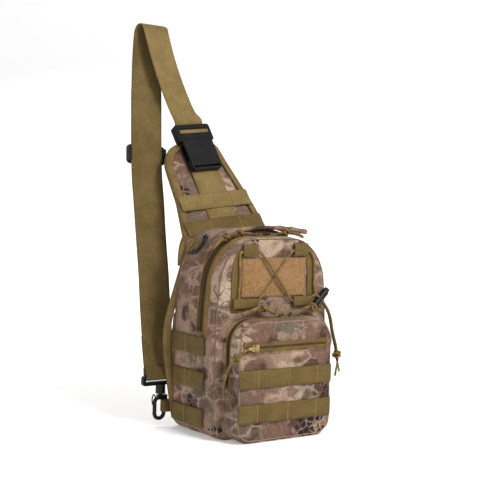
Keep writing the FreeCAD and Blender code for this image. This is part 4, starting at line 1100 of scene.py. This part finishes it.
def pouch_y(x, z):
    """The pouch's front: a little full, and let in where the flat pocket's zipper is sewn."""
    full = 2.6 * (1 - min(1, abs(x) / 79) ** 4) * max(0.0, math.sin(math.pi * min(1, max(0, z / 164)))) ** 0.8
    full *= 1 - 0.6 * rise(z, 104, 120) * (1 - rise(z, 140, 156))
    let_in = 1.7 * math.exp(-((z - POCKET_Z) / 6.6) ** 4) * (1 - rise(abs(x), 66, 72))
    return POUCH_FACE_Y - full + let_in


shell = front_shell("pouch_front", POUCH, [(-61.8, 0.6), (-63, 0.1), (-66, -0.4), (-70, -0.6), (-74, -0.4),
                                           (-77, 0.1), (-79, 1.2), (-79.9, 2.8), (-80.1, 4.4)],
                    pouch_y, 4.4, np.linspace(0.97, 0.03, 32))
wrinkled(outwards(shell), 1.5, 19, 14.4, near_seams(-95, -61))
bend(thicken(shell, 1.4), "pouch", "camo", "pouch_flap_shell", "pouch_body")
lower = loft("pouch_side", [at_depth(cup(POUCH, inset, 71.2), y) for y, inset in
                            ((-49, 0.3), (-53, -0.3), (-57, -0.4), (-62, 0.4))], CAMO, False)
place(thicken(outwards(lower), 1.4), "bag", "camo")
wall_rows = ((-46.2, -0.2), (-47.5, -0.2), (-49.4, 0.2), (-49.8, 1.4), (-49.4, 2.4))
back = loft("pouch_rear_wall", [family_loop(POUCH, y, inset) for y, inset in wall_rows], CAMO)
place(outwards(back), "bag", "camo")
bend(tube("pouch_piping", family_loop(POUCH, -80.1, 3.4), 0.85, PIPING, 6, closed=True), "pouch", "camo")
rows = [(family_loop(POUCH, -64.6, -0.7), out_of(POUCH))]
bend(stitches("pouch_stitches", rows, THREAD), "pouch", "binding")

zip_x = np.linspace(-69, 69, 70)
for part, side in (("upper", 1), ("lower", -1)):
    level = POCKET_Z + side * 4.3
    centres = [(x, pouch_y(x, level) - 0.5, level) for x in zip_x]
    tape = ribbon(f"pocket_tape_{part}", centres, (0, 0, -1), 7.6, 0.8, POCKET_TAPE)
    place(tape, "pouch_flap", "zip_tape", *(["pocket_zip"] if side > 0 else []))
    line = [(x, pouch_y(x, POCKET_Z) - 0.9, POCKET_Z) for x in zip_x[1:-1]]
    teeth = chain(f"pocket_teeth_{part}", line, lambda p: (0, -1, 0), side, 1.6, 1.9, 0.9)
    place(teeth, "pouch_flap", "zip_tape")
    level = POCKET_Z + side * 8.6
    hem = tube(f"pocket_hem_{part}", [(x, pouch_y(x, level) - 0.35, level) for x in zip_x], 0.75, CAMO, 6)
    place(hem, "pouch_flap", "camo")
    level = POCKET_Z + side * 7
    rows = [([(x, pouch_y(x, level) - 1.0, level) for x in zip_x], (0, -1, 0))]
    place(stitches(f"pocket_stitches_{part}", rows, THREAD, 2.0, 1.1), "pouch_flap", "binding")
for side_name, side in SIDES:
    x, y = side * 68.6, pouch_y(side * 68.6, 121) - 0.9
    bar = tack_bar(f"pocket_end_{side_name}", (x, y, 120.5), (x, y, 135.5), (0, -1, 0))
    place(bar, "pouch_flap", "binding")
bag_lining = ribbon("pocket_lining", [(x, -76.0, 110) for x in np.linspace(-70, 70, 20)], (0, 0, -1), 60, 0.8,
                    LINING)
place(bag_lining, "pouch_flap", "lining", "pocket_bag")

for body, node, low in (("bag", "pouch_row_low", 28), ("pouch_flap", "pouch_row_high", 74)):
    xs = np.linspace(-76.5, 76.5, 90)
    stand = tacked(xs, (-76, -48, 2, 50, 76), 0.9, 7)
    centres = [(x, min(pouch_y(x, low + 4), pouch_y(x, low + 21)) - 1.4 - up, low + ROW_WIDTH / 2)
               for x, up in zip(xs, stand)]
    row = ribbon(f"{node}_webbing", centres, (0, 0, -1), ROW_WIDTH, 1.5, WEBBING, 0.15)
    place(row, body, "webbing", node)
    for k, x in enumerate((-48, 2, 50)):
        y = pouch_y(x, low + 12) - 2.5
        bar = tack_bar(f"{node}_tack_{k}", (x, y, low + 0.8), (x, y, low + 24.2), (0, -1, 0))
        place(bar, body, "binding")


# ------------------------------------------------------------------ accessory ring's webbing tab
ring_turn = math.radians(38)
ring_out = np.array([-math.cos(ring_turn), 0, math.sin(ring_turn)])
ring_across = np.array([-math.sin(ring_turn), 0, -math.cos(ring_turn)])
ring_root = np.array([-35, 12, 220]) + ring_out * 58
ahead = np.array([0, -1, 0])
path = [(-34, -4.6), (-25, -3.6), (-14, -1.2), (-6, 0.8)]
path += [(3.5 * math.cos(a), 4.6 + 3.5 * math.sin(a)) for a in np.linspace(-math.pi / 2, math.pi / 2, 12)]
path += [(-5, 6.0), (-9, 3.2), (-16, 1.0), (-25, -2.0), (-34, -3.0)]
centres = resampled([ring_root + ahead * y + ring_out * z for y, z in path], 60)
tab = ribbon("ring_tab_webbing", centres, ring_across, 22, 1.3, WEBBING)
place(tab, "bag", "webbing", "ring_tab")
for k, (y, out) in enumerate(((-30, -1.6), (-13, 2.8))):
    root = ring_root + ahead * y + ring_out * out
    place(tack_bar(f"ring_tab_tack_{k}", root - ring_across * 9.5, root + ring_across * 9.5, ring_out), "bag",
          "binding")


# ------------------------------------------------------------------ shoulder pad
PAD_X, PAD_Y, PAD_Z = (np.array(v) for v in ((0.99357, 0.05830, 0.09703), (0, 0.85717, -0.51504),
                                            (-0.11320, 0.51173, 0.85166)))
PAD_ROOT = np.array([0, 66.8, 268.0])
PAD_TILT = PAD_X / PAD_X[0]


def pad_place(x, y, z):
    """A point of the shoulder pad's own frame, whose z runs up the pad, in the bag's frame."""
    return tuple(PAD_ROOT + PAD_X * x + PAD_Y * y + PAD_Z * z)


def pad_outline(inset, count=170):
    """The shoulder pad's outline at an inset."""
    foot, top = 74 - inset, 156 - inset
    right = [(foot, inset * 0.3), (67 - inset, 48, 90), (51 - inset, 118, 60), (44 - inset, top, 20 - inset)]
    left = [(-54 + inset, top, 44 - inset), (-61 + inset, 62, 90), (-foot, inset * 0.3)]
    return rounded(right + left, count)


cushion = pillow("pad_cushion", pad_outline(6.0), np.array([0, 74.0]), 1.3, 8.2, pad_place, CAMO, 1.6)
place(cushion, "bag", "camo", "shoulder_pad")
edge_band("pad_edge", pad_outline, pad_place, 0.0, 9.0, 10, "pad_binding")


def pad_strip(name, ends, low, high, depth, material, tacks=(), rise_by=0.6):
    """A webbing row across the pad."""
    xs = np.linspace(*ends, 60)
    stand = tacked(xs, (*ends, *tacks), rise_by, 6)
    centres = [pad_place(x, depth - up, (low + high) / 2) for x, up in zip(xs, stand)]
    return ribbon(name, centres, -PAD_Z, high - low, 1.5, material)


foot = []
for share in np.linspace(0, 1, 9):
    low, high = np.array([0.0, 66.0, 240]), np.array([0.0, 68.5, 269.5])
    level = low + (high - low) * share
    half = 79.5 - 6.0 * share
    turns = np.linspace(0, 2 * math.pi, 64, endpoint=False)
    across = half * np.sign(np.cos(turns)) * np.abs(np.cos(turns)) ** 0.25
    foot.append(np.column_stack((across, level[1] + 3.6 * np.sin(turns) + share * PAD_TILT[1] * across,
                                 level[2] + share * (3.0 + PAD_TILT[2] * across))))
root = outwards(loft("pad_root", foot, AIR_MESH))
place(root, "bag", "mesh")
for side_name, side in SIDES:
    edge = [(side * 82, 61.6, 226), (side * 80.5, 64, 238), (side * 77, 67, 252),
            (side * 74, 69 + side * 2, 264 + side * 3), (side * 73.5, 70 + side * 4, 271 + side * 7)]
    place(tube(f"pad_root_edge_{side_name}", curved(edge, 30), 4.6, BINDING, 14), "bag", "binding")
rows_low = pad_strip("pad_row_low", (-69, 69), 1.5, 26.5, -2.6, WEBBING, (-24, 28))
rows_high = pad_strip("pad_row_high", (-62, 62), 43, 68, -2.9, STRAP, (-24, 30))
place(rows_low, "bag", "webbing", "pad_rows")
place(rows_high, "bag", "webbing")
zs = np.linspace(27, 107, 50)
sag = np.interp(zs, (27, 45, 66, 80, 107), (0, 0, 0, 0.8, 2.4))
centres = [pad_place(3, -1.5 - dip, z) for z, dip in zip(zs, sag)]
place(ribbon("pad_strap_webbing", centres, PAD_X, 50, 1.6, STRAP, 0.3), "bag", "webbing", "pad_strap")
for k, (x, low, high, depth) in enumerate(((-24, 2.4, 25.6, -3.8), (28, 2.4, 25.6, -3.8), (-24, 44, 67, -4.0),
                                           (30, 44, 67, -4.0))):
    bar = tack_bar(f"pad_tack_{k}", pad_place(x, depth, low), pad_place(x, depth, high), -PAD_Y)
    place(bar, "bag", "binding")
lines = []
for corners in (((-20, 29), (26, 41)), ((-20, 41), (26, 29)), ((-20, 29), (26, 29)),
                ((-20, 41.5), (26, 41.5))):
    lines.append((resampled([pad_place(x, -2.6, z) for x, z in corners], 24), -PAD_Y))
lines.append((resampled([pad_place(-20, -3.2, 71), pad_place(26, -3.2, 71)], 24), -PAD_Y))
place(stitches("pad_strap_stitches", lines, THREAD), "bag", "binding")


# ------------------------------------------------------------------ strap
START = pad_place(3, -7.6, 178.0)
# each station of a run: x, y, z, and the turn and tilt in degrees of the strap's width there
TOP_FOLD = (-72, 171, 569, 12, 0)
FRONT_RUN = [
    (*START, 3.4, 5.6), (START[0] - 2.5, START[1] + 0.7, START[2] + 10, 4, 5.6), (-29, 155, 448, 9, 0),
    (-44, 158, 481, 12, 0), (-58, 162, 520, 14, 0), (-67.5, 165.5, 554, 14, 0), (-69.7, 167.5, 565, 13, 0),
    TOP_FOLD]
REAR_RUN = [
    TOP_FOLD, (-74.3, 175.5, 566, 10, 0), (-76.5, 177, 554, 7, 0), (-78.5, 175, 517, 3, 0),
    (-80, 171.5, 482, 0, 0), (-81.5, 168, 453, -2, 0), (-86, 155, 362, -2, 0), (-88, 143, 312, -2, 0),
    (-90, 131, 262, 0, 0), (-92.5, 117, 210, 0, 0), (-95.5, 106, 168, 0, 0), (-99, 92, 122, 0, 0),
    (-103, 76, 80, 0, 0), (-103.4, 74, 73, 0, 0)]


def run_of(stations, count):
    """A strap's middle line and its width's direction, smooth through its stations."""
    line = curved(stations, count)
    turn, tilt = np.radians(line[:, 3]), np.radians(line[:, 4])
    across = np.column_stack([np.cos(turn) * np.cos(tilt), np.sin(turn) * np.cos(tilt), np.sin(tilt)])
    return line[:, :3], across


def on_run(run, share, aside, lift):
    """A point on a strap: its share of the length, how far aside and how far off its face."""
    line, across = run
    spot = share * (len(line) - 1)
    at = np.array([np.interp(spot, np.arange(len(line)), line[:, k]) for k in range(3)])
    i = min(len(line) - 2, int(spot))
    travel = line[i + 1] - line[i]
    normal = np.cross(across[i], travel)
    normal /= np.linalg.norm(normal)
    return at + across[i] * aside + normal * lift, normal


ADJUSTER_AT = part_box("triglide")[0][2] / MM + 4
front_run, rear_run = run_of(FRONT_RUN, 130), run_of(REAR_RUN, 260)


def bend_strap(thing):
    """Bakes a piece's placement into its mesh."""
    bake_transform(thing)


# the front run takes the lighter copy of the webbing: painted light
strap_front = ribbon("strap_front_webbing", *front_run, STRAP_WIDTH, 1.6, STRAP, columns=10)
bend_strap(strap_front)
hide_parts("strap_front")
# the rear run, its sewn end and its fold take the darker copy of the webbing: painted shade
strap_rear = ribbon("strap_rear_webbing", *rear_run, STRAP_WIDTH, 1.6, STRAP_PAINTED_SHADE, columns=10)
place(strap_rear, "bag", "webbing", "strap_rear")


def run_lines(run, marks, lift):
    """Stitch lines on a strap from (share, aside) marks."""
    lines = []
    for mark in marks:
        spots = [on_run(run, share, aside, lift) for share, aside in mark]
        lines.append((resampled([s[0] for s in spots], 30), spots[0][1]))
    return lines


chevrons = [((0.80 + 0.035 * k, -23), (0.83 + 0.035 * k, 0), (0.80 + 0.035 * k, 23)) for k in range(4)]
piece = stitches("strap_chevrons", run_lines(front_run, chevrons, 0.9), DARK_THREAD, 2.6, 0.6, 0.75, 0.45)
place(piece, "bag", "binding")
edges = [((0.10, side * 21.5), (0.45, side * 21.5), (0.8, side * 21.5)) for side in (-1, 1)]
piece = stitches("strap_front_edges", run_lines(front_run, edges, 0.9), THREAD, 2.4, 2.2, 0.35, 0.25)
bend_strap(piece)
rows = [((share, -24), (share, 24)) for share in (0.265, 0.275, 0.285)]
rows += [((0.86, -23), (0.965, 23)), ((0.86, 23), (0.965, -23)), ((0.86, -23), (0.86, 23)),
         ((0.965, -23), (0.965, 23))]
both_faces = run_lines(rear_run, rows, 0.9) + run_lines(rear_run, rows, -0.9)
piece = stitches("strap_rear_stitches", both_faces, THREAD)
place(piece, "bag", "binding")
cut = int(len(rear_run[0]) * 0.84)
low_run = (rear_run[0][cut:] + np.array([0, 1.7, 0]), rear_run[1][cut:])
place(ribbon("strap_sewn_end", *low_run, 49.6, 1.5, STRAP_PAINTED_SHADE, columns=8), "bag", "webbing")
path = [(79.4, 82), (78.2, 74), (76.4, 67.2), (73.4, 65.0), (70.2, 67), (69.2, 72), (71.4, 79), (74.4, 84)]
centres = resampled([(-103.3, y, z) for y, z in path], 36)
place(ribbon("strap_hook_fold", centres, (1, 0, 0), 49.4, 1.4, STRAP_PAINTED_SHADE, columns=8), "bag", "webbing")
level = np.argmin(np.abs(rear_run[0][:, 2] - ADJUSTER_AT)) / (len(rear_run[0]) - 1)
bar = [on_run(rear_run, level + 0.0002 * x, x, 1.5)[0] for x in np.linspace(-25.4, 25.4, 24)]
place(tube("adjuster_bar", bar, 0.9, PLASTIC, 8), "strap_adjuster", "plastic")
xs = np.linspace(-22, 28, 24)
wrap = [pad_place(x, -12.7, 166.4) for x in xs]
place(ribbon("plug_strap_wrap", wrap, -PAD_Z, 5.6, 3.2, STRAP, 0.5), "buckle_plug", "webbing")


# ------------------------------------------------------------------ pieces that keep their solids
def coat(nodes, material, edge):
    """A finish for CAD nodes, with softened edges."""
    for node in nodes:
        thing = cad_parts[node]
        for held in thing.material_slots:
            held.link = "OBJECT"
            held.material = material
        bevel = thing.modifiers.new("edge", "BEVEL")
        bevel.width = edge * MM
        bevel.segments = 2
        bevel.limit_method = "ANGLE"
        bevel.angle_limit = math.radians(40)


coat(["buckle_female", "buckle_male", "prong_left", "prong_right", "triglide", "hook_frame", "snap_hook",
      "hook_gate", "accessory_ring"], PLASTIC, 0.5)
coat(["cord_lock_barrel", "cord_lock_plunger"], PLASTIC, 0.4)
coat(["cord_lock_spring"], STEEL, 0.15)
coat([f"{label}_slider" for label in PULLS], BRASS, 0.3)
coat([f"{label}_tab" for label in PULLS], BRASS, 0.2)

thumb = [(-113.6 + 2.6 * math.cos(a), 73, 37 + 7.5 * math.sin(a))
         for a in np.linspace(0, 2 * math.pi, 32, False)]
place(tube("hook_thumb_loop", thumb, 0.9, PLASTIC, 8, closed=True), "hook", "plastic")
for k, z in enumerate((172.5, 155.5)):
    rim = [pad_place(x, -13.1, z) for x in np.linspace(-24, 30, 12)]
    place(tube(f"plug_rib_{k}", rim, 0.8, PLASTIC, 8), "buckle_plug", "plastic")
for side_name, side in SIDES:
    rim = curved([pad_place(3 + side * x, -13.4, z)
                  for x, z in ((24.5, 105), (24.5, 124), (21, 130), (21, 140), (24.5, 147))], 40)
    place(tube(f"socket_rim_{side_name}", rim, 0.7, PLASTIC, 8), "bag", "plastic")


# ------------------------------------------------------------------ floor, and the end
def studio_floor():
    """A pale sweep under and behind the bag."""
    n = Nodes("paper")
    colour = n.mix(n.between(n.noise(40, 3), 0.3, 0.7), (0.86, 0.86, 0.86), (0.88, 0.88, 0.88))
    material = n.finish(colour, 0.9)
    n.shader.inputs["Emission Color"].default_value = (1, 1, 1, 1)
    n.shader.inputs["Emission Strength"].default_value = 0.22
    bend_at, radius, high, span = 1.6, 1.2, 3.6, 14.0
    profile = [(-span, 0), (bend_at, 0)]
    profile += [(bend_at + radius * math.sin(a), radius - radius * math.cos(a))
                for a in np.linspace(0.1, math.pi / 2, 12)]
    profile.append((bend_at + radius, high))
    turn = math.radians(34.9)
    c, s = math.cos(turn), math.sin(turn)
    points = [((x * c + y * s) / MM, (-x * s + y * c) / MM, level / MM)
              for y, level in profile for x in (-span, span)]
    make_mesh("studio_floor", points, skin(len(profile), 2, wrap_ring=False), material)


studio_floor()
